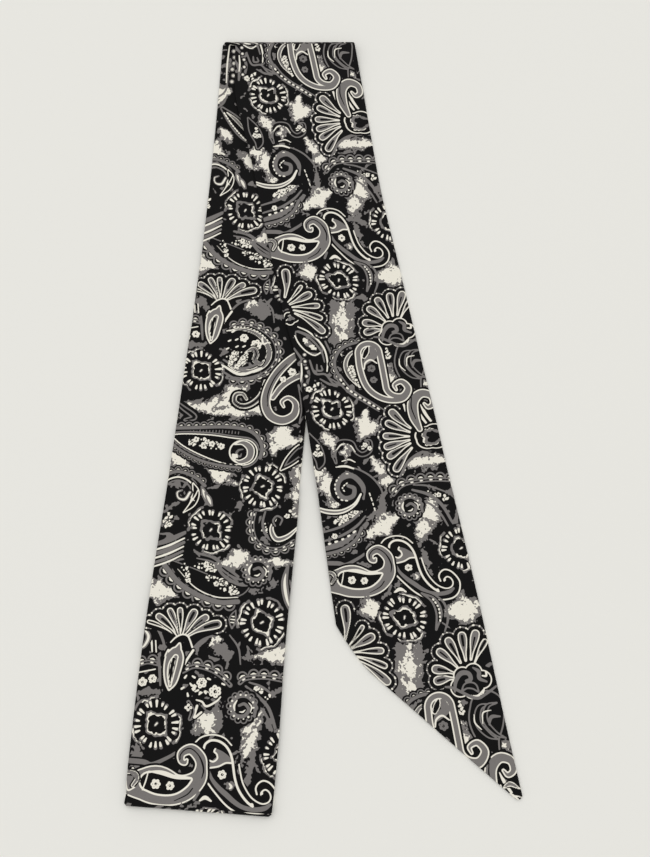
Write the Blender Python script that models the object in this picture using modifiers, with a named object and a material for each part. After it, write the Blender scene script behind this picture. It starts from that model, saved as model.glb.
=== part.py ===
"""Skinny neck scarf with slanted ends, folded over once and laid flat.

The scarf is one long pressed tube of thin printed cloth. It lies in three
runs. The run that is turned under lies lowest, the square-looking tail lies
on it, and the pointed tail comes back over the top and crosses the square
one on a slant. A soft fold joins each run to the next.

Metres, +Z up. The surface that the scarf lies on is z = 0, and the origin is
in the middle of the ground that the scarf covers. The tails point to -Y.
"""

import math
from collections import namedtuple

import bmesh
import bpy
from mathutils import Vector

# ---------------------------------------------------------------- cloth
BAND_WIDTH = 0.0700  # pressed width of the tube
WALL = 0.0010  # both plies of the tube with the air between them
GAP = 0.0003  # between layers, and where two runs meet
EDGE_ROUND = 0.00038  # rounding of the pressed long edges
EDGE_STEPS = 2  # faces across that rounding

# ---------------------------------------------------------------- lay of the tails
# The foot of a tail is the middle of its band at the end nearest to -Y, and
# its lean is how far its run turns from +Y towards +X.
SQUARE_FOOT = (-0.0593, -0.2211)
SQUARE_LEAN = math.radians(4.2)
POINTED_FOOT = (0.0602, -0.2230)
POINTED_LEAN = math.radians(-9.6)

# How far along each run its two long edges reach.
Reach = namedtuple("Reach", "left right")
SQUARE_START = Reach(left=0.0000, right=0.0000)
SQUARE_END = Reach(left=0.4433, right=0.4473)
POINTED_START = Reach(left=0.0880, right=-0.0018)
POINTED_END = Reach(left=0.4576, right=0.4469)
UNDER_END = Reach(left=0.3000, right=0.3900)

# A slanted end is sharp at its right side and wide at its left. Both corners
# are rounded: by this length along the run, over this share of the width.
Corner = namedtuple("Corner", "length share")
WIDE_CORNER = Corner(length=0.0102, share=0.20)
SHARP_CORNER = Corner(length=0.0050, share=0.05)

# ---------------------------------------------------------------- folds
TOP_FOLD_RADIUS = 0.0013  # middle of the wall, at the fold over the top
BOTTOM_FOLD_RADIUS = 0.0010  # the same where the tail is turned under
FOLD_PULL = 0.0011  # how far a fold's corners draw in at its crest
FOLD_STEPS = 10  # faces round a fold
PUFF_RUN = 0.014  # length over which the layers close up behind a fold

# ---------------------------------------------------------------- drape
EDGE_HOLD = 0.0010  # cloth stays level this far past what it lies on
DRAPE_RUN = 0.0220  # and then sinks to the surface over this length
UNDER_RUN = 0.0240  # the same past the end of the run that is turned under
CREST_RUN = 0.0260  # length below the top fold in which the tail keeps level

# ---------------------------------------------------------------- edges
# Small swerves of the long edges off a straight band. left: how far the left
# edge is drawn in. right: how far the right edge stands out.
Edge = namedtuple("Edge", "along left right")
SQUARE_EDGES = (
    Edge(along=0.000, left=0.0016, right=0.0000),
    Edge(along=0.005, left=0.0013, right=0.0001),
    Edge(along=0.010, left=0.0000, right=0.0002),
    Edge(along=0.035, left=-0.0007, right=0.0003),
    Edge(along=0.080, left=-0.0009, right=-0.0004),
    Edge(along=0.120, left=-0.0001, right=0.0000),
    Edge(along=0.155, left=0.0011, right=0.0002),
    Edge(along=0.180, left=0.0017, right=-0.0018),
    Edge(along=0.200, left=0.0021, right=-0.0018),
    Edge(along=0.240, left=0.0029, right=0.0004),
    Edge(along=0.275, left=0.0040, right=0.0010),
    Edge(along=0.345, left=0.0033, right=0.0010),
    Edge(along=0.400, left=0.0020, right=0.0004),
    Edge(along=0.448, left=0.0003, right=0.0000),
)
POINTED_EDGES = (
    Edge(along=0.000, left=-0.0031, right=0.0000),
    Edge(along=0.040, left=-0.0031, right=-0.0004),
    Edge(along=0.098, left=-0.0031, right=-0.0004),
    Edge(along=0.137, left=-0.0019, right=-0.0010),
    Edge(along=0.170, left=-0.0008, right=-0.0017),
    Edge(along=0.206, left=-0.0003, right=-0.0021),
    Edge(along=0.242, left=0.0003, right=-0.0030),
    Edge(along=0.268, left=-0.0022, right=-0.0034),
    Edge(along=0.300, left=-0.0034, right=-0.0040),
    Edge(along=0.340, left=-0.0046, right=-0.0048),
    Edge(along=0.378, left=-0.0056, right=-0.0038),
    Edge(along=0.412, left=-0.0081, right=-0.0026),
    Edge(along=0.430, left=-0.0071, right=-0.0022),
    Edge(along=0.458, left=-0.0028, right=-0.0016),
)
UNDER_EDGES = (
    Edge(along=0.000, left=-0.0002, right=-0.0010),
    Edge(along=0.010, left=0.0004, right=-0.0010),
    Edge(along=0.120, left=0.0006, right=-0.0008),
    Edge(along=0.165, left=0.0014, right=-0.0002),
    Edge(along=0.190, left=0.0024, right=0.0001),
    Edge(along=0.400, left=0.0045, right=0.0000),
)

# ---------------------------------------------------------------- fineness
TAIL_ROWS = 46
UNDER_ROWS = 30
COLUMNS = 14
CROWDING = 0.7  # how far the columns crowd towards the long edges, 0 to 1


# ---------------------------------------------------------------- numbers
def ease(value):
    """0 below 0, 1 above 1, and a soft S between them."""
    value = min(max(value, 0.0), 1.0)
    return value * value * (3.0 - 2.0 * value)


def mix(start, end, share):
    return start + (end - start) * share


def swerve(table, column, along):
    """A smooth curve through one column of an edge table."""
    stations = [row.along for row in table]
    values = [getattr(row, column) for row in table]
    along = min(max(along, stations[0]), stations[-1])
    i = max(k for k in range(len(table) - 1) if stations[k] <= along or k == 0)

    def slope(k):
        before, after = max(k - 1, 0), min(k + 1, len(table) - 1)
        return (values[after] - values[before]) / (stations[after] - stations[before])

    span = stations[i + 1] - stations[i]
    t = (along - stations[i]) / span
    rise = ease(t)
    start_pull = span * slope(i) * t * (1 - t) ** 2
    end_pull = span * slope(i + 1) * t * t * (1 - t)
    return mix(values[i], values[i + 1], rise) + start_pull - end_pull


# ---------------------------------------------------------------- lay in plan
def place(foot, lean, along, across):
    """The plan position of a point of a band."""
    return Vector((
        foot[0] + along * math.sin(lean) + across * math.cos(lean),
        foot[1] + along * math.cos(lean) - across * math.sin(lean),
    ))


def measure(foot, lean, spot):
    """along and across of a plan position: the reverse of place."""
    x, y = spot[0] - foot[0], spot[1] - foot[1]
    along = x * math.sin(lean) + y * math.cos(lean)
    return along, x * math.cos(lean) - y * math.sin(lean)


def square_spot(along, share):
    left = -BAND_WIDTH / 2 + swerve(SQUARE_EDGES, "left", along)
    right = BAND_WIDTH / 2 + swerve(SQUARE_EDGES, "right", along)
    return place(SQUARE_FOOT, SQUARE_LEAN, along, mix(left, right, share))


def under_spot(along, share):
    left = -BAND_WIDTH / 2 + swerve(UNDER_EDGES, "left", along)
    right = BAND_WIDTH / 2 + swerve(UNDER_EDGES, "right", along)
    return place(SQUARE_FOOT, SQUARE_LEAN, along, mix(left, right, share))


def pointed_spot(along, share):
    left = -BAND_WIDTH / 2 + swerve(POINTED_EDGES, "left", along)
    right = BAND_WIDTH / 2 + swerve(POINTED_EDGES, "right", along)
    return place(POINTED_FOOT, POINTED_LEAN, along, mix(left, right, share))


# ---------------------------------------------------------------- heights
UNDER_LEVEL = WALL / 2  # middle of the wall that is turned under
SQUARE_LEVEL = UNDER_LEVEL + WALL + GAP
POINTED_LEVEL = SQUARE_LEVEL + WALL + GAP


def past_under_end(along, across):
    """How far a point of the square tail is past the slanted end below it."""
    reach = UNDER_END.right - UNDER_END.left
    slant = math.atan2(BAND_WIDTH, reach)
    end_here = mix(UNDER_END.left, UNDER_END.right, across / BAND_WIDTH + 0.5)
    return (along - end_here) * math.sin(slant)


def square_height(spot):
    along, across = measure(SQUARE_FOOT, SQUARE_LEAN, spot)
    sunk = ease((past_under_end(along, across) - EDGE_HOLD) / UNDER_RUN)
    puff = 2 * BOTTOM_FOLD_RADIUS + UNDER_LEVEL - SQUARE_LEVEL
    return mix(SQUARE_LEVEL, UNDER_LEVEL, sunk) + puff * (1 - ease(along / PUFF_RUN))


def pointed_height(spot):
    across = measure(SQUARE_FOOT, SQUARE_LEAN, spot)[1]
    along = measure(POINTED_FOOT, POINTED_LEAN, spot)[0]
    past_edge = across - BAND_WIDTH / 2
    sunk = ease((past_edge - EDGE_HOLD) / DRAPE_RUN)
    sunk *= ease((POINTED_END.right - along) / CREST_RUN)
    return mix(POINTED_LEVEL, UNDER_LEVEL, sunk)


# ---------------------------------------------------------------- making
def cloth_material(name, colour):
    material = bpy.data.materials.new(name)
    material.use_nodes = True
    shader = material.node_tree.nodes["Principled BSDF"]
    shader.inputs["Base Color"].default_value = (*colour, 1.0)
    shader.inputs["Roughness"].default_value = 0.62
    shader.inputs["Metallic"].default_value = 0.0
    return material


def cloth(name, rows, columns, position, material, collection):
    """A grid laid out by position(share across, share along), with its wall."""
    bm = bmesh.new()
    bmesh.ops.create_grid(bm, x_segments=columns, y_segments=rows, size=0.5)
    for vertex in bm.verts:
        across = vertex.co.x + 0.5
        crowded = 0.5 - 0.5 * math.cos(math.pi * across)
        vertex.co = position(mix(across, crowded, CROWDING), vertex.co.y + 0.5)
    mesh = bpy.data.meshes.new(name)
    bm.to_mesh(mesh)
    bm.free()
    mesh.materials.append(material)
    mesh.shade_smooth()
    piece = bpy.data.objects.new(name, mesh)
    collection.objects.link(piece)

    wall = piece.modifiers.new("wall", "SOLIDIFY")
    wall.thickness = WALL
    wall.offset = 0.0
    wall.use_even_offset = True
    rounding = piece.modifiers.new("pressed edge", "BEVEL")
    rounding.width = EDGE_ROUND
    rounding.segments = EDGE_STEPS
    rounding.limit_method = "ANGLE"
    rounding.angle_limit = math.radians(55)
    rounding.use_clamp_overlap = True
    return piece


def straight_end(reach):
    """along at each share of the width, at an end cut or folded straight."""
    return lambda across: mix(reach.left, reach.right, across)


def slanted_end(reach, inward):
    """The same at a slanted end with rounded corners. inward is 1 or -1."""

    def line(across):
        wide = max(1.0 - across / WIDE_CORNER.share, 0.0) ** 2
        sharp = max(1.0 - (1.0 - across) / SHARP_CORNER.share, 0.0) ** 2
        rounding = WIDE_CORNER.length * wide + SHARP_CORNER.length * sharp
        return mix(reach.left, reach.right, across) + inward * rounding

    return line


def run_position(spot, height, start_line, end_line):
    """The layout of a run: its rows turn evenly from one end's line to the other's."""

    def position(across, along):
        here = spot(mix(start_line(across), end_line(across), along), across)
        return Vector((here.x, here.y, height(here)))

    return position


def fold_position(low_spot, high_spot, outward, low_level, radius):
    """Half a turn from one run's end to the next one's.

    The crest is as wide as both runs together: its left edge leaves the lower
    run late, and its right edge joins the upper run early.
    """

    def position(across, share):
        turn = math.pi * (share - 0.5)
        left = low_spot(0.0).lerp(high_spot(0.0), ease(2 * share - 1))
        right = low_spot(1.0).lerp(high_spot(1.0), ease(2 * share))
        pull = FOLD_PULL * math.cos(turn) ** 2 / BAND_WIDTH
        here = left.lerp(right, mix(pull, 1.0 - pull, across))
        here = here + outward * (radius * math.cos(turn))
        return Vector((here.x, here.y, low_level + radius * (1 + math.sin(turn))))

    return position


def trimmed(reach, length):
    """A reach moved along its run."""
    return Reach(left=reach.left + length, right=reach.right + length)


def build():
    for old in list(bpy.data.objects):
        bpy.data.objects.remove(old, do_unlink=True)
    collection = bpy.data.collections.new("skinny_scarf")
    bpy.context.scene.collection.children.link(collection)

    # A fold's crest stands one outer radius past the ends of the two runs.
    top_set = TOP_FOLD_RADIUS + WALL / 2
    bottom_set = BOTTOM_FOLD_RADIUS + WALL / 2

    tail_start = straight_end(trimmed(SQUARE_START, bottom_set + GAP))
    square_end = straight_end(trimmed(SQUARE_END, -top_set - GAP))
    pointed_end = straight_end(trimmed(POINTED_END, -top_set - GAP))

    cloth(
        "turned_under_run", UNDER_ROWS, COLUMNS,
        run_position(
            under_spot, lambda spot: UNDER_LEVEL,
            tail_start, slanted_end(UNDER_END, inward=-1),
        ),
        cloth_material("turned under cloth", (0.060, 0.058, 0.056)), collection,
    )
    cloth(
        "square_tail", TAIL_ROWS, COLUMNS,
        run_position(square_spot, square_height, tail_start, square_end),
        cloth_material("square tail cloth", (0.105, 0.101, 0.096)), collection,
    )
    cloth(
        "pointed_tail", TAIL_ROWS, COLUMNS,
        run_position(
            pointed_spot, pointed_height,
            slanted_end(POINTED_START, inward=1), pointed_end,
        ),
        cloth_material("pointed tail cloth", (0.120, 0.116, 0.110)), collection,
    )

    away = Vector((math.sin(SQUARE_LEAN), math.cos(SQUARE_LEAN)))
    low = trimmed(SQUARE_START, bottom_set)
    cloth(
        "bottom_fold", FOLD_STEPS, COLUMNS,
        fold_position(
            lambda share: under_spot(mix(low.left, low.right, share), share),
            lambda share: square_spot(mix(low.left, low.right, share), share),
            -away, UNDER_LEVEL, BOTTOM_FOLD_RADIUS,
        ),
        cloth_material("bottom fold cloth", (0.090, 0.087, 0.083)), collection,
    )
    near = trimmed(SQUARE_END, -top_set)
    far = trimmed(POINTED_END, -top_set)
    cloth(
        "top_fold", FOLD_STEPS, COLUMNS,
        fold_position(
            lambda share: square_spot(mix(near.left, near.right, share), share),
            lambda share: pointed_spot(mix(far.left, far.right, share), share),
            Vector((0.0, 1.0)), UNDER_LEVEL, TOP_FOLD_RADIUS,
        ),
        cloth_material("top fold cloth", (0.090, 0.087, 0.083)), collection,
    )


build()
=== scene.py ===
"""A skinny printed scarf with slanted ends, folded over once and laid flat.

Read as a lesson, cell by cell: the frame and the camera first, then the cloth
as it lies, the print that is laid on it, its twill, and the light.

Metres, +Z up, the table at z = 0. The tails point to -Y.
"""

# %% [markdown]
# # The frame
# The solid model gives the size and the place of everything. It is loaded
# first.

# %% the frame
import copy
import math
from collections import namedtuple

import bpy
import numpy as np
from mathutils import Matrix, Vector


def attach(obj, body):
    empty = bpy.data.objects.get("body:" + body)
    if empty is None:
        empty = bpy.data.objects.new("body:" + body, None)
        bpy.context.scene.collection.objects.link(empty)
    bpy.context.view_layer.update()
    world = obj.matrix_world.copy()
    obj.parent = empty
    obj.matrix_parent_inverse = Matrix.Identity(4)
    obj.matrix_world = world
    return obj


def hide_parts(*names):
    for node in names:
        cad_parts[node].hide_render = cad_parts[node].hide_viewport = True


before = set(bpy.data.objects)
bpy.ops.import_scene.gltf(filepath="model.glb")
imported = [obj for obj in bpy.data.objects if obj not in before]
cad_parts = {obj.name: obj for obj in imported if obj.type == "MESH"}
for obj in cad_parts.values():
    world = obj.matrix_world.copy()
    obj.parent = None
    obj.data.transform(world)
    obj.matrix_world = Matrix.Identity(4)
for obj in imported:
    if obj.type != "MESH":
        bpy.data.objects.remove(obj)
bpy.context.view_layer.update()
print("solids:", sorted(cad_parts))

# %% [markdown]
# # The camera
# The picture was taken from nearly straight above with a normal lens, from
# the side of the tails' feet. The camera looks at one spot of the table from
# 63 cm away, and leans back by 21 degrees from straight down.

# %% the camera
LENS = 50.0  # mm
SENSOR = 36.0  # mm, along the picture's long side
CAMERA_LEAN = math.radians(21.328)
CAMERA_DISTANCE = 0.632
LOOKED_AT = Vector((0.0007, -0.0271, 0.0))

lens = bpy.data.cameras.new("camera")
lens.lens = LENS
lens.sensor_width = SENSOR
lens.sensor_fit = "AUTO"
lens.clip_start = 0.01
camera = bpy.data.objects.new("camera", lens)
camera.location = LOOKED_AT + CAMERA_DISTANCE * Vector(
    (0.0, -math.sin(CAMERA_LEAN), math.cos(CAMERA_LEAN))
)
camera.rotation_euler = (CAMERA_LEAN, 0.0, 0.0)
bpy.context.scene.collection.objects.link(camera)
bpy.context.scene.camera = camera
print("camera at", [round(x, 4) for x in camera.location])

# %% [markdown]
# # How the scarf lies
# The scarf is one long tube of thin cloth, sewn along one edge, turned right
# side out and pressed flat. It lies in three runs: one is turned under at the
# foot, the square tail lies on it, and the pointed tail comes back over the
# top and crosses the square one on a slant. Each run is a straight band whose
# long edges swerve a little, as hand laid cloth does. The tables give those
# swerves at stations along the run.

# %% sizes of the cloth
BAND_WIDTH = 0.0700  # pressed width of the tube
WALL = 0.0010  # both plies with the air between them
GAP = 0.0003  # between the layers

Reach = namedtuple("Reach", "left right")
Edge = namedtuple("Edge", "along left right")
Run = namedtuple("Run", "foot lean edges")


def edges(*rows):
    """The edges of a run in mm: along, left edge drawn in by, right edge standing out by."""
    return tuple(Edge(*(value / 1000 for value in row)) for row in rows)


SQUARE_EDGES = edges(
    (0, 1.6, 0), (5, 1.3, 0.1), (10, 0, 0.2), (35, -0.7, 0.3), (80, -0.9, -0.4),
    (120, -0.1, 0), (155, 1.1, 0.2), (180, 1.7, -1.8), (200, 2.1, -1.8), (240, 2.9, 0.4),
    (275, 4, 1), (345, 3.3, 1), (400, 2, 0.4), (448, 0.3, 0),
)
POINTED_EDGES = edges(
    (0, -3.1, 0), (40, -3.1, -0.4), (98, -3.1, -0.4), (137, -1.9, -1), (170, -0.8, -1.7),
    (206, -0.3, -2.1), (242, 0.3, -3), (268, -2.2, -3.4), (300, -3.4, -4), (340, -4.6, -4.8),
    (378, -5.6, -3.8), (412, -8.1, -2.6), (430, -7.1, -2.2), (458, -2.8, -1.6),
)
UNDER_EDGES = edges(
    (0, -0.2, -1), (10, 0.4, -1), (120, 0.6, -0.8), (165, 1.4, -0.2), (190, 2.4, 0.1),
    (400, 4.5, 0),
)

# A run's foot is the middle of its band at the end nearest to -Y, and its
# lean is how far it turns from +Y towards +X.
SQUARE = Run(foot=(-0.0593, -0.2211), lean=math.radians(4.2), edges=SQUARE_EDGES)
UNDER = Run(foot=SQUARE.foot, lean=SQUARE.lean, edges=UNDER_EDGES)
POINTED = Run(foot=(0.0602, -0.2230), lean=math.radians(-9.6), edges=POINTED_EDGES)

# How far along its run each long edge reaches.
SQUARE_START = Reach(left=0.0000, right=0.0000)
SQUARE_END = Reach(left=0.4433, right=0.4473)
POINTED_START = Reach(left=0.0880, right=-0.0018)
POINTED_END = Reach(left=0.4576, right=0.4469)
UNDER_END = Reach(left=0.3000, right=0.3900)

# The corners of a slanted end are rounded: by this length along the run,
# over this share of the width.
Corner = namedtuple("Corner", "length share")
WIDE_CORNER = Corner(length=0.0102, share=0.20)
SHARP_CORNER = Corner(length=0.0050, share=0.05)

TOP_FOLD_RADIUS = 0.0013  # middle of the wall, at the fold over the top
BOTTOM_FOLD_RADIUS = 0.0010  # the same where the tail is turned under
FOLD_PULL = 0.0011  # how far a fold's corners draw in at its crest
PUFF_RUN = 0.014  # length over which the layers close up behind a fold
EDGE_HOLD = 0.0010  # cloth stays level this far past what it lies on
DRAPE_RUN = 0.0220  # and then sinks to the table over this length
UNDER_RUN = 0.0240  # the same past the end that is turned under
CREST_RUN = 0.0260  # length below the top fold in which the tail keeps level

UNDER_LEVEL = WALL / 2  # middle of the wall of each run
SQUARE_LEVEL = UNDER_LEVEL + WALL + GAP
POINTED_LEVEL = SQUARE_LEVEL + WALL + GAP


# %% measures along a run
def ease(value):
    """0 below 0, 1 above 1, and a soft S between them."""
    value = np.clip(value, 0.0, 1.0)
    return value * value * (3.0 - 2.0 * value)


def mix(start, end, share):
    return start + (end - start) * share


def swerve(table, column, along):
    """A smooth curve through one column of an edge table."""
    stations = np.array([row.along for row in table])
    values = np.array([getattr(row, column) for row in table])
    slopes = np.empty_like(values)
    slopes[1:-1] = (values[2:] - values[:-2]) / (stations[2:] - stations[:-2])
    slopes[0] = (values[1] - values[0]) / (stations[1] - stations[0])
    slopes[-1] = (values[-1] - values[-2]) / (stations[-1] - stations[-2])
    along = np.clip(along, stations[0], stations[-1])
    i = np.clip(np.searchsorted(stations, along, side="right") - 1, 0, len(table) - 2)
    span = stations[i + 1] - stations[i]
    t = (along - stations[i]) / span
    start_pull = span * slopes[i] * t * (1 - t) ** 2
    end_pull = span * slopes[i + 1] * t * t * (1 - t)
    return mix(values[i], values[i + 1], ease(t)) + start_pull - end_pull


def spot(run, along, share):
    """Plan position of a point of a run, share of the way across its band."""
    left = -BAND_WIDTH / 2 + swerve(run.edges, "left", along)
    right = BAND_WIDTH / 2 + swerve(run.edges, "right", along)
    across = mix(left, right, share)
    x = run.foot[0] + along * math.sin(run.lean) + across * math.cos(run.lean)
    y = run.foot[1] + along * math.cos(run.lean) - across * math.sin(run.lean)
    return x, y


def measure(run, x, y):
    """along and across of a plan position."""
    x, y = x - run.foot[0], y - run.foot[1]
    along = x * math.sin(run.lean) + y * math.cos(run.lean)
    return along, x * math.cos(run.lean) - y * math.sin(run.lean)


def trimmed(reach, length):
    return Reach(left=reach.left + length, right=reach.right + length)


def straight_end(reach):
    return lambda share: mix(reach.left, reach.right, share)


def slanted_end(reach, inward):
    """A slanted end with rounded corners. inward is 1 or -1 along the run."""

    def line(share):
        wide = np.clip(1.0 - share / WIDE_CORNER.share, 0.0, None) ** 2
        sharp = np.clip(1.0 - (1.0 - share) / SHARP_CORNER.share, 0.0, None) ** 2
        rounding = WIDE_CORNER.length * wide + SHARP_CORNER.length * sharp
        return mix(reach.left, reach.right, share) + inward * rounding

    return line


# %% heights of the runs
def under_height(x, y):
    return np.full_like(x, UNDER_LEVEL)


def square_height(x, y):
    along, across = measure(SQUARE, x, y)
    slant = math.atan2(BAND_WIDTH, UNDER_END.right - UNDER_END.left)
    end_here = mix(UNDER_END.left, UNDER_END.right, across / BAND_WIDTH + 0.5)
    past = (along - end_here) * math.sin(slant)
    sunk = ease((past - EDGE_HOLD) / UNDER_RUN)
    puff = 2 * BOTTOM_FOLD_RADIUS + UNDER_LEVEL - SQUARE_LEVEL
    return mix(SQUARE_LEVEL, UNDER_LEVEL, sunk) + puff * (1 - ease(along / PUFF_RUN))


def pointed_height(x, y):
    past_edge = measure(SQUARE, x, y)[1] - BAND_WIDTH / 2
    along = measure(POINTED, x, y)[0]
    sunk = ease((past_edge - EDGE_HOLD) / DRAPE_RUN)
    sunk = sunk * ease((POINTED_END.right - along) / CREST_RUN)
    return mix(POINTED_LEVEL, UNDER_LEVEL, sunk)


print("levels, mm:", [round(1000 * z, 2) for z in (UNDER_LEVEL, SQUARE_LEVEL, POINTED_LEVEL)])

# %% [markdown]
# # The plies
# Every run is a flattened tube. Its upper and its lower ply roll into each
# other along the long edges and at a slanted end, and they pass round the
# folds together: the ply that shows on top of the pointed tail goes round the
# outside of the top fold and comes back as the underside of the square tail.
# Each ply is a grid of points laid from the run's own measures, with
# the rows turning evenly from the slanted end to the crease. The plies that
# show are finer, because the print's edges are as crisp as the grid.

# %% stations of the grids
FINE = 0.00040  # spacing of the points on a ply that shows
CROSSING = 0.00042  # on the longest stretch of one
COVERED = 0.00050  # on a stretch that is half covered
HIDDEN = 0.00120  # and on a ply that lies underneath
ROLL = WALL / 2  # radius of the rolled edges
ROLL_TURNS = np.radians((0.0, 28.0, 58.0))  # of the points on a rolled edge
FOLD_ROWS = 12  # of points round a fold
SLACK = 0.00012  # how far a ply sinks into the tube behind its rolled edge
SLACK_RUN = 0.0100  # over this length
SOFT_RUN = 0.0030  # creases fade out over this length beside an edge


def stations(length, grain, roll_first=True, roll_last=True):
    """Distances along a length, crowded where the cloth rolls over an edge."""
    crowd = ROLL * (1 - np.cos(ROLL_TURNS))
    first = crowd if roll_first else np.zeros(0)
    last = length - crowd[::-1] if roll_last else np.zeros(0)
    low = ROLL if roll_first else 0.0
    high = length - ROLL if roll_last else length
    middle = np.linspace(low, high, int(round((high - low) / grain)) + 1)
    return np.concatenate((first, middle, last))


def roll_rise(inset):
    """Half the tube's thickness at a distance from its edge."""
    level = np.clip(1 - inset / ROLL, 0.0, 1.0)
    return ROLL * np.sqrt(1 - level * level)


# A soft crease: a low ridge, or a trough where rise is below 0, along a short
# line on a run. along, across: its middle. turn: from the run's own direction.
Crease = namedtuple("Crease", "turn along across length width rise")


def creases(*rows):
    """Creases from rows of a turn in degrees, and the other measures in mm."""
    return tuple(Crease(turn, *(value / 1000 for value in sizes)) for turn, *sizes in rows)


def creased(placed, along, across):
    """How far the placed creases lift the cloth."""
    rise = np.zeros_like(along)
    for crease in placed:
        turn = math.radians(crease.turn)
        on, off = along - crease.along, across - crease.across
        forward = on * math.cos(turn) + off * math.sin(turn)
        aside = off * math.cos(turn) - on * math.sin(turn)
        fade = np.clip(1 - (forward / crease.length) ** 2, 0.0, None) ** 2
        rise += crease.rise * fade * np.exp(-((aside / crease.width) ** 2))
    return rise


# %% a ply of a run
class Ply:
    """Rows of points of one ply, with the print's own measures across and along."""

    def __init__(self, grain):
        self.grain = grain
        self.share = stations(BAND_WIDTH, grain) / BAND_WIDTH
        self.points, self.measures = [], []

    def add(self, x, y, z, across, along):
        self.points.append(np.stack((x, y, z), -1))
        self.measures.append(np.stack((across, along), -1))

    def lay_run(self, run, height, start_line, end_line, side, placed, sewn=None, folds=()):
        """side: 1 for the upper ply, -1 for the lower. sewn, folds: which of its ends are."""
        start, end = start_line(self.share), end_line(self.share)
        reach = end - start
        length = float(np.mean(reach))
        lean = math.sin(math.atan2(BAND_WIDTH, abs(reach[0] - reach[-1])))
        rows = stations(length * lean, self.grain * lean, sewn == "start", sewn == "end")
        rows = rows / (length * lean)
        share, turned = np.meshgrid(self.share, rows)
        along = mix(start[None, :], end[None, :], turned)
        x, y = spot(run, along, share)
        inset = np.minimum(share, 1 - share) * BAND_WIDTH
        if sewn == "start":
            inset = np.minimum(inset, turned * length * lean)
        if sewn == "end":
            inset = np.minimum(inset, (1 - turned) * length * lean)
        across = measure(run, x, y)[1]
        # Behind a roll and behind a fold the ply takes a while to go slack.
        from_fold = np.full_like(along, SLACK_RUN)
        if "start" in folds:
            from_fold = np.minimum(from_fold, turned * length)
        if "end" in folds:
            from_fold = np.minimum(from_fold, (1 - turned) * length)
        behind = np.minimum(inset - ROLL, from_fold)
        lift = roll_rise(inset) - SLACK * ease(behind / SLACK_RUN)
        soft = creased(placed, along, across) * ease(behind / SOFT_RUN)
        if side > 0:
            z = height(x, y) + lift + soft
        else:
            z = height(x, y) - roll_rise(inset) + np.abs(soft)
        self.add(x, y, z, across, along)

    def lay_fold(self, low, high, outward, radius, side, high_first, along_at, onward):
        """Half a turn round a crease. low, high: the plan corners of both runs."""
        steps = np.linspace(0, 1, FOLD_ROWS + 1)
        share, turned = np.meshgrid(self.share, steps[1:] if high_first else steps[:-1])
        lifted = 1 - turned if high_first else turned
        turn = math.pi * (lifted - 0.5)
        late, early = ease(2 * lifted - 1)[..., None], ease(2 * lifted)[..., None]
        left = low[0] + (high[0] - low[0]) * late
        right = low[1] + (high[1] - low[1]) * early
        pull = FOLD_PULL * np.cos(turn) ** 2 / BAND_WIDTH
        plan = left + (right - left) * mix(pull, 1 - pull, share)[..., None]
        reach = radius + side * roll_rise(np.minimum(share, 1 - share) * BAND_WIDTH)
        x = plan[..., 0] + outward[0] * reach * np.cos(turn)
        y = plan[..., 1] + outward[1] * reach * np.cos(turn)
        z = UNDER_LEVEL + radius + reach * np.sin(turn)
        round_length = (radius + side * ROLL) * math.pi
        across = (share - 0.5) * BAND_WIDTH
        if self.measures:
            across = np.broadcast_to(self.measures[-1][-1, :, 0], share.shape)
        self.add(x, y, z, across, along_at + onward * round_length * turned)

    def mesh(self, name, facing):
        """The ply as a mesh. facing: 1 where the rows run away from the feet, seen from outside."""
        points, measures = np.concatenate(self.points), np.concatenate(self.measures)
        rows, columns = points.shape[:2]
        number = np.arange(rows * columns).reshape(rows, columns)
        a, b = number[:-1, :-1].ravel(), number[:-1, 1:].ravel()
        d, c = number[1:, :-1].ravel(), number[1:, 1:].ravel()
        faces = np.stack((a, b, c, d) if facing > 0 else (a, d, c, b), -1)
        mesh = bpy.data.meshes.new(name)
        mesh.from_pydata(points.reshape(-1, 3).tolist(), [], faces.tolist())
        cloth = mesh.uv_layers.new(name="cloth")
        corners = np.empty(len(mesh.loops), int)
        mesh.loops.foreach_get("vertex_index", corners)
        flat = measures.reshape(-1, 2)
        cloth.uv.foreach_set("vector", flat[corners].astype(np.float32).ravel())
        mesh.shade_smooth()
        piece = bpy.data.objects.new(name, mesh)
        bpy.context.scene.collection.objects.link(piece)
        return piece, flat

# %% [markdown]
# # Soft creases
# Pressed cloth that has been folded and laid down by hand is never quite
# flat. Low ridges run slantwise from the top fold and over the edge of the
# layer below, and the sewn ends pucker a little. They are placed one by one,
# uneven, and the undersides get like ones.

# %% creases placed one by one
# turn, along, across, length, width, rise
POINTED_CREASES = creases(
    (12, 432, -12, 30, 6, 0.26), (-16, 405, 16, 34, 7, -0.22), (8, 352, -20, 42, 8, 0.24),
    (-9, 318, 8, 36, 6.5, -0.2), (-22, 262, -6, 40, 6, 0.3), (17, 236, 14, 30, 5.5, 0.22),
    (5, 205, -22, 28, 5, -0.18), (-13, 168, 4, 38, 7, 0.22), (20, 122, 18, 30, 6, -0.2),
    (34, 84, 12, 26, 4.5, 0.2), (48, 52, 20, 22, 4, -0.16), (50, 26, 24, 16, 3.2, 0.14),
)
SQUARE_CREASES = creases(
    (-9, 412, -14, 34, 7, 0.24), (6, 360, -22, 40, 6, -0.2), (14, 305, 2, 38, 7.5, 0.26),
    (-12, 248, -18, 36, 6, 0.2), (21, 214, 16, 30, 6.5, -0.22), (-7, 162, -6, 44, 8, 0.24),
    (10, 118, 18, 32, 5.5, -0.18), (-18, 78, -20, 30, 6, 0.22), (15, 40, 8, 26, 6, -0.16),
    (82, 16, -12, 24, 3.5, 0.14),
)
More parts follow.
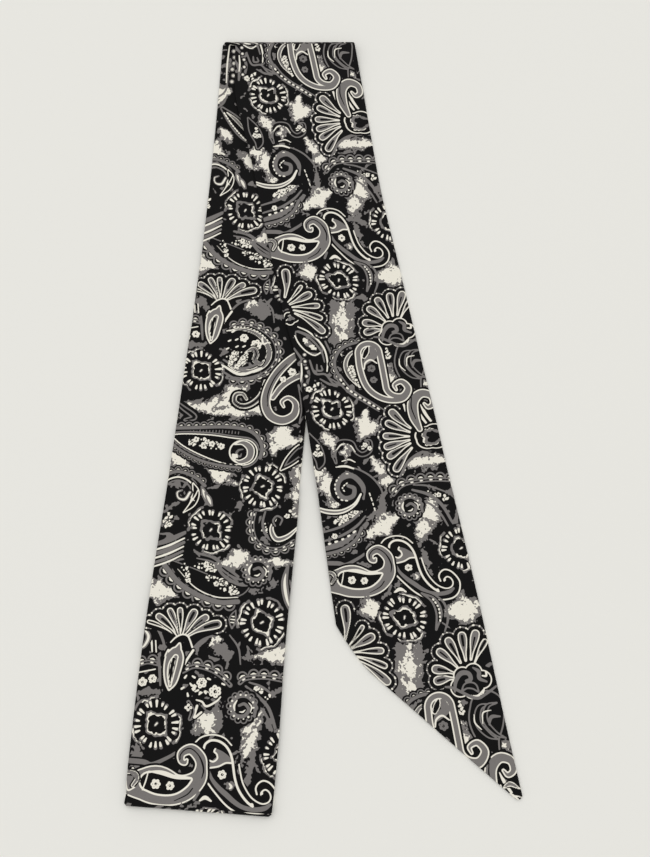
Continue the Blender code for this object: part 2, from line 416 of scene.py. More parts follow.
UNDER_CREASES = creases(
    (11, 60, 10, 34, 7, 0.18), (-14, 140, -16, 40, 6, -0.18), (8, 225, 6, 36, 6.5, 0.16),
    (40, 300, 18, 26, 5, -0.16),
)

# %% laying the six plies
BOTTOM_SET = BOTTOM_FOLD_RADIUS + WALL / 2
TOP_SET = TOP_FOLD_RADIUS + WALL / 2
low_line = trimmed(SQUARE_START, BOTTOM_SET)
near_line = trimmed(SQUARE_END, -TOP_SET)
far_line = trimmed(POINTED_END, -TOP_SET)


def corners(run, reach):
    """Plan positions of the left and right end of a crease line."""
    return [np.array(spot(run, np.float64(reach[k]), np.float64(k))) for k in (0, 1)]


TAIL_AWAY = (-math.sin(SQUARE.lean), -math.cos(SQUARE.lean))
UP = (0.0, 1.0)
BOTTOM_FOLD = dict(low=corners(UNDER, low_line), high=corners(SQUARE, low_line),
                   outward=TAIL_AWAY, radius=BOTTOM_FOLD_RADIUS)
TOP_FOLD = dict(low=corners(SQUARE, near_line), high=corners(POINTED, far_line),
                outward=UP, radius=TOP_FOLD_RADIUS)
TOP_AT = POINTED_END.left  # where the print passes the top fold
FOOT_AT = -0.005  # and where it comes round the bottom fold

# Each tail's upper ply is laid in two stretches, cut straight across here.
POINTED_CUT = straight_end(Reach(left=0.215, right=0.215))
SQUARE_CUT = straight_end(Reach(left=0.205, right=0.205))
pointed_start = slanted_end(POINTED_START, inward=1)
under_end = slanted_end(UNDER_END, inward=-1)
far_end, near_end, low_end = straight_end(far_line), straight_end(near_line), straight_end(low_line)


def pointed_ply(side, grain, free=True, crossing=True):
    """The pointed tail: its free stretch, and the one that crosses the other tail."""
    ply = Ply(grain)
    first = pointed_start if free else POINTED_CUT
    last = far_end if crossing else POINTED_CUT
    ply.lay_run(POINTED, pointed_height, first, last, side, POINTED_CREASES,
                sewn="start" if free else None, folds=("end",) if crossing else ())
    if crossing:
        ply.lay_fold(**TOP_FOLD, side=side, high_first=True, along_at=TOP_AT, onward=1)
    return ply


def square_ply(side, grain, free=True, crossed=True):
    """The square tail: its free stretch, and the one that is crossed."""
    ply = Ply(grain)
    if free:
        ply.lay_fold(**BOTTOM_FOLD, side=side, high_first=False, along_at=FOOT_AT, onward=1)
    first = low_end if free else SQUARE_CUT
    last = near_end if crossed else SQUARE_CUT
    folds = (("start",) if free else ()) + (("end",) if crossed else ())
    ply.lay_run(SQUARE, square_height, first, last, side, SQUARE_CREASES, folds=folds)
    return ply


def under_ply(side, grain):
    ply = Ply(grain)
    ply.lay_run(UNDER, under_height, low_end, under_end, side, UNDER_CREASES,
                sewn="end", folds=("start",))
    return ply


# The upper plies are laid in two stretches, so that each stays light enough.
pieces = {
    name: ply.mesh(name, facing=side)
    for name, side, ply in (
        ("pointed_tail_free_stretch", 1, pointed_ply(1, FINE, crossing=False)),
        ("pointed_tail_crossing", 1, pointed_ply(1, CROSSING, free=False)),
        ("pointed_tail_lower_ply", -1, pointed_ply(-1, HIDDEN)),
        ("square_tail_free_stretch", 1, square_ply(1, FINE, crossed=False)),
        ("square_tail_crossed", 1, square_ply(1, COVERED, free=False)),
        ("square_tail_lower_ply", -1, square_ply(-1, HIDDEN)),
        ("turned_under_upper_ply", 1, under_ply(1, HIDDEN)),
        ("turned_under_lower_ply", -1, under_ply(-1, HIDDEN)),
    )
}
for name, (piece, _) in pieces.items():
    print(name, len(piece.data.polygons) * 2, "triangles")

# %% [markdown]
# # The print
# The cloth carries an old paisley print: curled paisleys in pairs, palm fans
# over tulips, rosettes, snails and lace edges, on black, with bright gaps in
# the ground. It is drawn the way the printer's draughtsman drew it, motif by
# motif, with brush strokes that swell and taper, and laid on a chart in mm:
# u across the band, v along it from the foot. A motif is drawn once, in its
# own measures, and placed wherever the chart has it.

# %% ink on cloth
REACH = 1.5  # mm, how far from its edge a shape is felt
TINY = 1e-9
SMOOTH_STEPS = 6  # from one knot of a line to the next
GREY, CREAM, BLACK = "grey", "cream", "black"


class Cloth:
    """For each point of a ply, how far it is from grey and from cream ink."""

    def __init__(self, across, along):
        self.order = np.argsort(along)
        self.u, self.v = across[self.order], along[self.order]
        self.start = 0.0
        self.ink = {GREY: np.full(len(across), REACH), CREAM: np.full(len(across), REACH)}

    def moved(self, start):
        """The same cloth and ink, with v counted from start on."""
        stretch = copy.copy(self)
        stretch.v, stretch.start = self.v - start, self.start + start
        return stretch

    def near(self, low, high):
        """Numbers of the points in a box grown by the reach."""
        first, last = np.searchsorted(self.v, (low[1] - REACH, high[1] + REACH))
        span = self.u[first:last]
        return first + np.nonzero((span > low[0] - REACH) & (span < high[0] + REACH))[0]

    def paint(self, ink, at, away):
        """Cover a shape with an ink. away: distance to its edge, below 0 inside."""
        for name, field in self.ink.items():
            value = np.minimum(field[at], away) if name == ink else np.maximum(field[at], -away)
            field[at] = np.clip(value, -REACH, REACH)

    def fields(self):
        """The distances, in the order of the ply's points."""
        result = []
        for field in self.ink.values():
            back = np.empty_like(field)
            back[self.order] = field
            result.append(back)
        return result


def noise(x, y, seed):
    """Smooth uneven value from -1 to 1, with one cell to a unit."""
    ix, iy = np.floor(x), np.floor(y)
    fx, fy = ease(x - ix), ease(y - iy)

    def corner(a, b):
        value = np.sin(a * 127.1 + b * 311.7 + seed * 74.7) * 43758.5453
        return 2 * (value - np.floor(value)) - 1

    low = corner(ix, iy) * (1 - fx) + corner(ix + 1, iy) * fx
    high = corner(ix, iy + 1) * (1 - fx) + corner(ix + 1, iy + 1) * fx
    return low * (1 - fy) + high * fy


def smooth(knots):
    """A smooth line through knots (x, y, radius)."""
    k = np.asarray(knots, float)
    k = np.vstack((2 * k[0] - k[1], k, 2 * k[-1] - k[-2]))
    t = (np.arange(SMOOTH_STEPS) / SMOOTH_STEPS)[:, None]
    spans = []
    for a, b, c, d in zip(k[:-3], k[1:-2], k[2:-1], k[3:]):
        spans.append(0.5 * (2 * b + (c - a) * t + (2 * a - 5 * b + 4 * c - d) * t**2
                            + (3 * b - a - 3 * c + d) * t**3))
    return np.vstack((*spans, k[-2:-1]))


class Place:
    """Where a motif is drawn: its middle, its turn in degrees, and its size."""

    def __init__(self, cloth, u=0.0, v=0.0, turn=0.0, size=1.0):
        self.cloth, self.u, self.v, self.size = cloth, u, v, size
        self.c, self.s = math.cos(math.radians(turn)), math.sin(math.radians(turn))

    def out(self, x, y):
        """A point of the motif on the cloth."""
        x, y = x * self.size, y * self.size
        return self.u + x * self.c - y * self.s, self.v + x * self.s + y * self.c

    def round(self, radius):
        """Points within a radius, and their own x and y, in the motif's measures."""
        r = radius * self.size
        at = self.cloth.near((self.u - r, self.v - r), (self.u + r, self.v + r))
        dx, dy = self.cloth.u[at] - self.u, self.cloth.v[at] - self.v
        x, y = dx * self.c + dy * self.s, dy * self.c - dx * self.s
        return at, x / self.size, y / self.size

    def stroke(self, line):
        """A stroke along a line of (x, y, radius): its points, and how far each is from its edge."""
        line = np.asarray(line, float)
        u, v = self.out(line[:, 0], line[:, 1])
        r = np.abs(line[:, 2]) * self.size
        at = self.cloth.near((np.min(u - r), np.min(v - r)), (np.max(u + r), np.max(v + r)))
        pu, pv = self.cloth.u[at], self.cloth.v[at]
        away = np.full(len(at), np.inf)
        for i in range(len(line) - 1):
            du, dv = u[i + 1] - u[i], v[i + 1] - v[i]
            t = ((pu - u[i]) * du + (pv - v[i]) * dv) / max(du * du + dv * dv, TINY)
            t = np.clip(t, 0, 1)
            gap = np.hypot(pu - u[i] - t * du, pv - v[i] - t * dv)
            away = np.minimum(away, gap - (r[i] + (r[i + 1] - r[i]) * t))
        return at, away

    def brush(self, *knots):
        return self.stroke(smooth(knots))

    def dot(self, x, y, r):
        return self.stroke([(x, y, r), (x + 0.01, y, r)])

    def lay(self, shapes, *bands):
        """Ink over ink. A band is (ink, how far in from the shapes' edges), or an ink that fills them."""
        shapes = [shapes] if isinstance(shapes, tuple) else shapes
        for band in bands:
            ink, inset = band if isinstance(band, tuple) else (band, 0.0)
            for at, away in shapes:
                self.cloth.paint(ink, at, away + inset * self.size)


def marks(line, gap):
    """Places along a line, gap apart, with the line's direction there."""
    line = np.asarray(line, float)
    far = np.concatenate(([0], np.cumsum(np.hypot(*np.diff(line[:, :2], axis=0).T))))
    where = np.arange(gap / 2, far[-1], gap)
    x, y = (np.interp(where, far, line[:, k]) for k in (0, 1))
    ahead, behind = ([np.interp(where + step, far, line[:, k]) for k in (0, 1)] for step in (0.3, -0.3))
    dx, dy = np.subtract(ahead, behind)
    norm = np.hypot(dx, dy) + TINY
    return np.stack((x, y, dx / norm, dy / norm), -1)

# %% [markdown]
# # The motifs
# A rosette of short ticks round a ragged diamond. A fan of long petals with
# a beaded edge. A tulip that stands under the fan. Two paisleys head to
# head. A snail in a scalloped round. A lace edge. Bright ragged gaps in the
# ground. Flowers, crumbs, dashes and hair lines that fill what is left.

# %% small motifs
EDGED = ((BLACK, -1), CREAM, (GREY, 0.68))
# Strokes along a lace: steps on and thickness, both as shares of an arch's radius.
MOON = ((-0.34, 0.28), (0, 0.42), (0.34, 0.28))
TICK = ((-0.18, 0.16), (0.18, 0.13))
SNAIL = 8  # radius it is drawn with


def patch(cloth, u, v, a, b, turn, seed, rim=1.5):
    """A bright gap in the ground, with a ragged grey rim and specks both ways."""
    at, x, y = Place(cloth, u, v, turn).round(max(a, b) * 1.4 + 4)
    bent = x + 0.35 * a * noise(y * 0.9 / b + seed, 0.5 * x / a, seed)
    thin = 1.0 + 0.45 * noise(y * 0.7 / b - seed, 2.0 + seed, seed + 1)
    hollow = (np.abs(bent / (1.25 * a * thin)) ** 0.95 + np.abs(y / (1.25 * b)) ** 0.95) ** (1 / 0.95)
    away = (hollow - 1) * min(a, b)
    x, y = 0.8 * x + 0.6 * y, 0.8 * y - 0.6 * x
    lump = 1.3 * noise(x * 0.31 + seed, y * 0.31, seed)
    spike = 0.7 * noise(x * 0.7, y * 0.7, seed + 3)
    spike += 0.8 * noise(x * 1.6 - 0.7 * y, y * 1.6 + 0.7 * x, seed + 7)
    cloth.paint(GREY, at, away + 1.2 * lump + 1.2 * spike - rim)
    cloth.paint(CREAM, at, away + lump + 1.7 * spike + 0.1)
    speck = (0.74 - noise(x * 1.5, y * 1.5, seed + 11)) * 0.9
    cloth.paint(CREAM, at, np.maximum(speck, away + lump - 0.7 * rim))
    speck = (0.72 - noise(x * 1.3, y * 1.3, seed + 12)) * 0.9
    cloth.paint(GREY, at, np.maximum(speck, away + 0.8))


def undergrowth(cloth, seed):
    """A few small grey leaves on the black ground."""
    x, y = 0.8 * cloth.u + 0.6 * cloth.v, 0.8 * cloth.v - 0.6 * cloth.u
    bend = 2.2 * noise(x * 0.13, y * 0.13, seed)
    leaf = (0.60 - noise(x * 0.30 + bend, y * 0.30, seed + 3)) * 3.0
    cloth.paint(GREY, slice(None), leaf + 0.7 * noise(x * 1.2, y * 1.2, seed + 4))


def shade(cloth, u, v, a, b, turn, seed, ink=GREY):
    """A ragged patch of one ink."""
    at, x, y = Place(cloth, u, v, turn).round(max(a, b) * 1.3 + 2)
    away = (np.hypot(x / a, y / b) - 1) * min(a, b)
    ragged = 1.2 * noise(x * 0.4 + seed, y * 0.4, seed) + 0.9 * noise(x * 1.3, y * 1.3, seed + 3)
    cloth.paint(ink, at, away + ragged)


def flower(cloth, u, v, r, turn=0, ink=CREAM, petals=6):
    """A ragged little flower with a dark heart."""
    here = Place(cloth, u, v, turn, r)
    around = []
    for k in range(petals):
        a = 2 * math.pi * (k + 0.12 * math.sin(5.0 * k + u)) / petals
        far = 0.62 + 0.1 * math.sin(7 * a + v + cloth.start)
        around.append((far * math.cos(a), far * math.sin(a)))
    here.lay([here.dot(x, y, 0.40) for x, y in around], (BLACK, -0.15), ink)
    here.lay([here.dot(x, y, 0.10) for x, y in around], BLACK)
    here.lay(here.dot(0, 0, 0.27), BLACK)
    here.lay(here.dot(0.05, -0.03, 0.11), ink)


def crumbs(cloth, u, v, a, b, turn, seed, pitch=2.5):
    """A scatter of small flowers, leaves and specks in an oval."""
    draw = np.random.default_rng(seed)
    here = Place(cloth, u, v, turn)
    at, x, y = here.round(max(a, b) + 2)
    inside = (np.hypot(x / a, y / b) - 1) * min(a, b)
    leafy = 0.42 - noise(x * 0.55, y * 0.55, seed) - 0.55 * noise(x * 1.3, y * 1.3, seed + 2)
    cloth.paint(CREAM, at, np.maximum(1.1 * leafy, inside))
    for x in np.arange(-a, a, pitch):
        for y in np.arange(-b, b, pitch):
            (dx, dy), way, kind = draw.uniform(-0.9, 0.9, 2), draw.uniform(0, math.pi), draw.uniform()
            x1, y1 = x + pitch / 2 + dx, y + pitch / 2 + dy
            if math.hypot(x1 / a, y1 / b) > 1:
                continue
            c, s = math.cos(way), math.sin(way)
            if kind < 0.28:
                flower(cloth, *here.out(x1, y1), 1.3 + 0.6 * draw.uniform(), 50 * way, petals=5)
            elif kind < 0.7:
                here.lay(here.stroke([(x1 - c, y1 - s, 0.35), (x1, y1, 0.75),
                                      (x1 + 0.9 * s, y1 + 0.9 * c, 0.3)]), (BLACK, -0.4), CREAM)
            else:
                here.lay(here.dot(x1, y1, 0.45), (BLACK, -0.5), CREAM)


def dashes(cloth, knots, gap, length, r, ink=CREAM, across=False):
    """Short strokes along a line, or across it."""
    here = Place(cloth)
    for k, (x, y, dx, dy) in enumerate(marks(smooth(knots), gap)):
        if across:
            dx, dy = -dy, dx
        half = length / 2 * (1 + 0.25 * math.sin(2.1 * k))
        here.lay(here.stroke([(x - dx * half, y - dy * half, r),
                              (x + dx * half, y + dy * half, r * 0.8)]), ink)


def hair(cloth, *knots, ink=GREY, r=0.5):
    """A thin line that swells in the middle. A knot may give its own radius."""
    here = Place(cloth)
    last = len(knots) - 1
    full = []
    for i, knot in enumerate(knots):
        swell = 0.65 + 1.4 * (i / last) * (1 - i / last)
        full.append(knot if len(knot) > 2 else (*knot, r * swell))
    here.lay(here.brush(*full), ink)


def curl(cloth, *knots, bands=EDGED):
    """One curled leaf or hook drawn with a brush."""
    here = Place(cloth)
    here.lay(here.brush(*knots), *bands)


def lace(cloth, *knots, r, side=1, line=True):
    """A row of small arches on a grey band, with a bright half-moon in each."""
    here = Place(cloth)
    way = smooth([(x, y, 1) for x, y in knots])
    arches = marks(way, 1.85 * r)
    arches[:, 0] -= arches[:, 3] * side * 0.55 * r
    arches[:, 1] += arches[:, 2] * side * 0.55 * r
    here.lay([here.dot(x, y, r) for x, y, dx, dy in arches], (BLACK, -0.8), GREY, (BLACK, 0.30 * r))
    for x, y, dx, dy in arches:
        x, y = x + dy * side * 0.12 * r, y - dx * side * 0.12 * r
        moon = [(x + step * r * dx, y + step * r * dy, thick * r) for step, thick in MOON]
        here.lay(here.stroke(moon), CREAM)
    way[:, 2] = 0.42 * r
    way[:, 0] += 0.1 * side * np.gradient(way[:, 1])
    here.lay(here.stroke(way), (BLACK, -0.3), GREY)
    if line and r > 2.2:
        for k, (x, y, dx, dy) in enumerate(marks(way, 0.62 * r)):
            tick = [(x + step * r * dx, y + step * r * dy, thick * r) for step, thick in TICK]
            here.lay(here.stroke(tick), CREAM if k % 3 == 1 else BLACK)


def snail(cloth, u, v, r):
    """A grey curl with bright beads and crescents, in a scalloped round."""
    here = Place(cloth, u, v, size=r / SNAIL)
    turns = np.arange(0, 2 * math.pi, math.pi / 7)
    scallops = [here.dot(6.8 * math.cos(a), 7 * math.sin(a), 1.7 + 0.2 * math.sin(3 * a)) for a in turns]
    here.lay(scallops, (BLACK, -1.2), GREY, (BLACK, 0.65))
    here.lay(here.dot(0, 0, 6.4), (BLACK, -0.2))
    here.lay(here.brush((7, -4.4, 0.7), (6.6, 1.4, 1.1), (2.4, 5.6, 1.1), (-3.2, 5, 1.2),
                        (-5.6, 0.2, 1.2), (-3.4, -4.4, 1.1), (1.4, -4.6, 1), (3.6, -1.2, 0.9),
                        (1.2, 1.6, 0.8), (-1.6, 0.6, 0.7)), GREY)
    beads = [here.dot(6.1 * math.cos(a), 6.3 * math.sin(a), 0.5 + 0.15 * math.sin(5 * a)) for a in turns]
    here.lay(beads, CREAM)
    for crescent in (
        ((-3.6, -2.4, 0.25), (-4.2, 0.4, 0.6), (-2.9, 3.3, 0.25)),
        ((3.2, 2.4, 0.2), (5, 0.4, 0.4), (4.6, -2.6, 0.2)),
        ((-1.2, -2.6, 0.2), (0.6, -2.6, 0.45), (1.8, -1.4, 0.2)),
    ):
        here.lay(here.brush(*crescent), CREAM)


# %% large motifs
ROSETTE = 13  # radius it is drawn with
TICKS = 22  # round a rosette
DIAMOND = 1.15  # how square its middle is: 1 has straight sides, 2 is a round
# A petal's thickness: share of its length, share of its radius.
PETAL = ((0, 0.30), (0.3, 0.45), (0.6, 0.80), (0.85, 1), (1, 0.95))


def rosette(cloth, u, v, r, turn, seed):
    """A dark round with a frill, short bright ticks, and a ragged diamond."""
    here = Place(cloth, u, v, turn, r / ROSETTE)
    at, x, y = here.round(17)
    angle, far = np.arctan2(y, x), np.hypot(x * 1.06, y * 0.96)
    frill = 0.8 * np.abs(np.cos(4.5 * angle + seed)) + 0.45 * noise(x * 0.8, y * 0.8, seed)
    shown = 2.4 * np.cos(3 * angle + 2 * seed) + 1.8 * np.cos(2 * angle + seed) + 0.4
    cloth.paint(BLACK, at, far - 13.9 - frill)
    cloth.paint(GREY, at, np.maximum(far - 13.5 - frill, -shown))
    patchy = 0.9 - shown + 1.6 * noise(x * 0.45, y * 0.45, seed + 4)
    cloth.paint(CREAM, at, np.maximum(far - 12.8 - frill, patchy))
    cloth.paint(BLACK, at, far - 12.1 - 1.1 * frill)
    for k in range(TICKS):
        a = 2 * math.pi * (k + 0.20 * math.sin(3.7 * k + seed)) / TICKS
        inner, outer = 9.0 + 0.5 * math.sin(2.3 * k + seed), 11.3 + 0.4 * math.sin(5.1 * k + seed)
        c, s = math.cos(a) / 1.06, math.sin(a) / 0.96
        here.lay(here.stroke([(inner * c, inner * s, 0.52), (outer * c, outer * s, 0.95)]), GREY)
        mid = inner + (0.80 + 0.2 * math.sin(1.9 * k)) * (outer - inner)
        here.lay(here.stroke([(inner * c, inner * s, 0.40), (mid * c, mid * s, 0.72)]), CREAM)
    length = np.abs(x * 0.96 + 0.28 * y) ** DIAMOND * 1.02
    width = np.abs(y * 0.96 - 0.28 * x) ** DIAMOND * 0.80
    diamond = (length + width) ** (1 / DIAMOND)
    diamond += 0.35 * np.cos(5 * angle + seed) + 0.8 * noise(x * 0.7, y * 0.7, seed + 5)
    cloth.paint(GREY, at, diamond - 7)
    cloth.paint(CREAM, at, np.maximum(diamond - 5.9, -2.0 * noise(x * 0.22, y * 0.22, seed + 9) - 0.9))
    cloth.paint(BLACK, at, diamond - 5.0 - 0.5 * noise(x * 1.1, y * 1.1, seed + 2))
    here.lay(here.stroke([(-0.7, -0.3, 0.4), (0.6, 0.3, 0.5)]), (GREY, -0.3), (CREAM, 0.1))


def fan(cloth, u, v, petals, turn=0, start=0.2):
    """Long petals bending from a hub. Each petal is (lean in degrees, reach, radius)."""
    here = Place(cloth, u, v, turn)
    rows = []
    for lean, reach, r in petals:
        row = []
        for share, wide in PETAL:
            far = start * reach + share * ((1 - start) * reach - r)
            a = math.radians(lean * (0.70 + 0.30 * far / reach))
            row.append((far * math.sin(a), far * math.cos(a), r * wide))
        rows.append(row)
    ends = [row[-1] for row in rows]
    here.lay([here.dot(x, y, r + 2.7) for x, y, r in ends], (BLACK, -1), GREY, (BLACK, 0.75))
    for x, y, r in ends:
        out = r + 2.4
        ring = [(x + out * math.sin(a), y + out * math.cos(a), 0.30 + 0.22 * math.sin(9 * a + x))
                for a in np.arange(0, 6.28, 0.34)]
        here.lay([here.dot(*bead) for bead in ring if bead[2] > 0.16], CREAM)
    here.lay([here.brush(*[(x, y, r + 1.9) for x, y, r in row]) for row in rows], BLACK)
    for k, row in enumerate(rows):
        here.lay(here.brush(*[(x, y, 1.08 * r) for x, y, r in row]), (BLACK, -0.6), CREAM, (GREY, 0.6))
        slit = row[1:4] if k % 2 else row[2:5]
        here.lay(here.brush(*[(x, y, (0.30 + 0.10 * math.sin(2.3 * k)) * r) for x, y, r in slit]), BLACK)


def hub(cloth, u, v, a, b, turn, seed):
    """The dark scalloped middle of a fan, with a ragged grey ring in it."""
    at, x, y = Place(cloth, u, v, turn).round(max(a, b) + 3)
    angle = np.arctan2(y, x)
    away = (np.hypot(x / a, y / b) - 1) * min(a, b) - 0.7 * np.abs(np.cos(2.5 * angle + seed))
    ragged = away + 0.5 * noise(x * 0.9, y * 0.9, seed) + 0.5 * np.cos(3 * angle + seed)
    for ink, edge in (
        (BLACK, away - 1.2), (CREAM, away), (BLACK, away + 0.6),
        (CREAM, np.maximum(ragged + 2.2, -1.5 * np.cos(angle + seed) - 0.6)), (GREY, ragged + 2.7),
        (BLACK, ragged + 4.2),
    ):
        cloth.paint(ink, at, edge)


def tulip(cloth, u, v):
    """A tulip in loops of cream and grey on its point at u, v, under a dark arch."""
    here = Place(cloth, u, v)
    here.lay(here.brush((0, 21.5, 1.5), (2, 24.8, 1.8), (4.9, 26.2, 1.8), (7.6, 25, 1.8), (9.6, 21, 1.2)),
             BLACK)
    here.lay(here.brush((-0.8, 23.6, 0.3), (1.6, 26.4, 0.4), (4.6, 28, 0.4), (7.2, 27.4, 0.4),
                        (8.8, 25, 0.4), (10.6, 21, 0.5)), CREAM)
    here.lay(here.brush((10.8, 20.6, 0.6), (8.2, 15.6, 0.55), (6.4, 10.6, 0.4)), (BLACK, -0.6), CREAM)
    shapes = [
        here.brush((1.2, 0.8, 0.8), (1.6, 5, 3.2), (1.6, 10, 4.4), (2, 15.4, 4.8), (2.4, 18.2, 3.6)),
        here.brush((2.6, 18.5, 2.8), (3.4, 21.4, 1.6), (3.7, 23.2, 0.8)),
        here.brush((-1.6, 17, 1.4), (-1.4, 19.6, 0.7)),
    ]
    here.lay(shapes, (BLACK, -0.9), CREAM, (GREY, 0.75))
    here.lay(here.brush((1.4, 2.6, 0.8), (1.1, 8, 1.9), (1.5, 13, 2.2), (2.6, 16.6, 1.5)), CREAM,
             (GREY, 0.65))
    here.lay(here.brush((1.3, 4.6, 0.3), (1.1, 9.6, 0.7), (1.8, 15.6, 0.7)), (CREAM, -0.3), BLACK)


def left_twin(cloth, here):
    """The lying paisley: a broad grey band round a dark field, and a hooked head."""
    lay, brush = here.lay, here.brush
    lay(brush((-40, 20.6, 1.2), (-28.5, 20.5, 1.2), (-24, 19.7, 1), (-16.6, 23.5, 0.8),
              (-12.7, 26.3, 0.7)), (BLACK, -0.8), GREY)
    body = ((-36, 10.2, 4.6), (-30, 10, 6.2), (-26, 10.4, 7.6), (-20.5, 10.4, 9), (-13, 8.9, 7.4),
            (-6.7, 10.2, 6), (-1.5, 14.6, 4.3), (-0.4, 19.9, 3), (-1.5, 24.3, 3), (-6, 27.9, 2.7),
            (-10.3, 25.9, 2.2), (-10.3, 22.5, 1.7), (-8.4, 21.5, 1.4), (-7.7, 22.8, 0.9))
    lay(brush(*body), *EDGED)
    field = brush((-24.6, 11.8, 4.1), (-19.1, 11.4, 5.2), (-13.2, 10.8, 4.2), (-8.4, 12.3, 2.6),
                  (-4.9, 14, 0.6))
    lay(field, (CREAM, -0.6), (BLACK, 0.3))
    lay(brush((-25, 16.4, 0.3), (-19, 15.9, 0.7), (-12, 14.6, 0.8), (-5, 14.6, 0.5)), CREAM)
    lay(brush((-10.9, 22.9, 0.3), (-10.9, 25.1, 0.3), (-8.9, 27.6, 0.3), (-6.1, 28.2, 0.3),
              (-2.5, 25.7, 0.3), (-0.1, 22, 0.45), (0.9, 18.5, 0.4), (0.4, 15, 0.2)), BLACK)
    lay(brush((-3.4, 10.1, 0.3), (-5.8, 7, 0.3), (-11.4, 3.8, 0.2)), BLACK)
    lay(brush((-38, 15.2, 0.8), (-32.1, 15.2, 1), (-30.2, 12.8, 1), (-31.9, 9.3, 0.8)), (BLACK, -0.7),
        CREAM, (GREY, 0.4))
    lay(brush((-27, 7.6, 0.25), (-26, 11.6, 0.35), (-25.3, 15.8, 0.25)), CREAM)
    for x, y, r in ((-20.9, 10.9, 2.3), (-14.3, 10.6, 2)):
        flower(cloth, *here.out(x, y), r * here.size, 17 * x)


def right_twin(cloth, here):
    """The hanging paisley: bright double lines round dark bands, a beak, and a curled tail."""
    lay, brush = here.lay, here.brush
    lay(brush((5.9, 27.6, 5.6), (8.5, 20.4, 6.3), (11.7, 13.6, 6.6), (16.9, 7.9, 6.6), (23.3, 3.8, 4.4),
              (29.9, 3, 3.4), (34.9, 6.2, 3), (34.7, 10.6, 2.9), (31.2, 14, 2.4), (28, 12.1, 1.7)),
        (BLACK, -0.8))
    ragged = brush((3.5, 18.6, 0.5), (5.3, 14.9, 0.8), (9.1, 11.1, 1.1), (12.8, 8.4, 1.2),
                   (16.9, 5.4, 1.1), (21.2, 3.3, 1), (26.4, 2.6, 1.1), (31.3, 3.5, 1.1), (33.9, 5.4, 0.7))
    lay(ragged, GREY)
    lay(brush((4.3, 21.6, 1.2), (8, 23.6, 2.3), (10.9, 24.4, 2), (13.6, 23.9, 0.8)), GREY)
    lay(brush((5.5, 28.5, 0.7), (8.2, 26.9, 1.4), (10.7, 25.2, 1.6)), GREY)
    shade(cloth, *here.out(14.4, 13), 2.2, 1.6, 0, 61)
    lay(brush((13.6, 13.6, 0.3), (14.8, 12.2, 0.6), (14, 11.2, 0.3)), CREAM)
    for r, line in (
        (0.34, ((-4.6, 31.1), (-2.2, 33.7), (1.5, 35.2), (5.5, 35.4), (9.5, 34.2), (13, 31.2))),
        (0.55, ((-0.2, 28.2), (0.4, 30.9), (3, 32.8), (6.6, 32.7), (9.9, 31), (12.4, 28.1), (14, 24.5),
                (15, 20.3), (16.1, 16.1), (17.8, 12), (20.3, 8.4), (23.2, 5.6), (25.8, 4))),
        (0.36, ((17.4, 22.6), (18.4, 19), (19.8, 14.8), (21.8, 11.4), (24.4, 8.3), (27.2, 6.4),
                (30.3, 5.5), (32.9, 6.4), (33.9, 8.6), (32.9, 11), (30.9, 12), (29.3, 10.8),
                (29.1, 9.6))),
        (0.40, ((27.2, 9.6), (26.4, 12.2), (27.3, 14.5), (29.6, 16), (32.6, 15.3), (35.4, 12.8),
                (37.4, 9.5), (37.5, 5.9), (36.3, 2.7), (33.6, 0.4), (29.7, -0.6), (25.4, -0.7),
                (21, -0.1), (16.3, 1.7), (12.3, 4.3), (8.1, 8.2), (4.7, 11.7), (2.6, 14.6), (2.9, 18.1))),
        (0.42, ((2.5, 23.7), (5, 23), (6.8, 24.6), (6.3, 26.6), (5, 27.7), (5.4, 29))),
        (0.42, ((2.9, 19.9), (7.7, 21), (11, 22.8), (14.2, 23))),
    ):
        lay(brush(*[(x, y, r) for x, y in line]), CREAM)
    lay(here.dot(25.2, 4.6, 0.9), CREAM)
    lay(here.dot(29.4, 10.2, 0.7), CREAM)
    flower(cloth, *here.out(10, 17.4), 2.1 * here.size, 20)


def twins(cloth, u, v, turn=0, size=1):
    """Two paisleys head to head over the whole band."""
    here = Place(cloth, u, v, turn, size)
    right_twin(cloth, here)
    left_twin(cloth, here)

# %% [markdown]
# # The chart
# Both tails are cut from one printed length, at different places, so the
# same motifs meet in other company. Each tail's chart is written once, as its
# repeat, and laid again further along.

# %% the chart of the square tail
SQUARE_REPEAT = 187.0
TULIP_FAN = ((-64, 20, 1), (-48, 18.6, 1.8), (-26, 18, 1.6), (-8, 17.2, 1.5), (19, 17.6, 2.1),
             (42, 18.6, 1.9), (62, 22, 2.2))


def square_foot(cloth):
    """The twin paisleys over the foot."""
    shade(cloth, -30, 18.5, 5, 2, 10, 2)
    crumbs(cloth, -30, 18, 3.4, 1.4, 10, 3)
    rosette(cloth, 5, -11, 12, 10, 11)
    patch(cloth, 22, 32, 2.6, 9, -18, 4)
    shade(cloth, 22.5, 20, 1.6, 6, 0, 5)
    twins(cloth, 0, 0)
    hair(cloth, (-0.3, 8.4), (-2.1, 5), r=1)
    hair(cloth, (0.6, 4.8, 0.4), (3, 6.4, 0.9), (6, 5, 0.4), ink=CREAM)
    hair(cloth, (-35.6, 12.6), (-34, 7.2), (-30.6, 8.6), ink=CREAM, r=0.4)
    hair(cloth, (-36, 17), (-28.6, 11.2))
    shade(cloth, -5.5, 1.4, 2.4, 1, 0, 6)


def left_edge(cloth):
    """Lace and two flowers, at the same height in both repeats."""
    lace(cloth, (-37, 66), (-32, 67.8), (-27, 67.2), r=2.6)
    hair(cloth, (-36, 62.4), (-28, 64.6), ink=CREAM)
    flower(cloth, -28.8, 60, 2.2, 10)
    flower(cloth, -33.5, 57.9, 2.3, 30)
    shade(cloth, -30, 53.4, 5, 1.5, 8, 10)


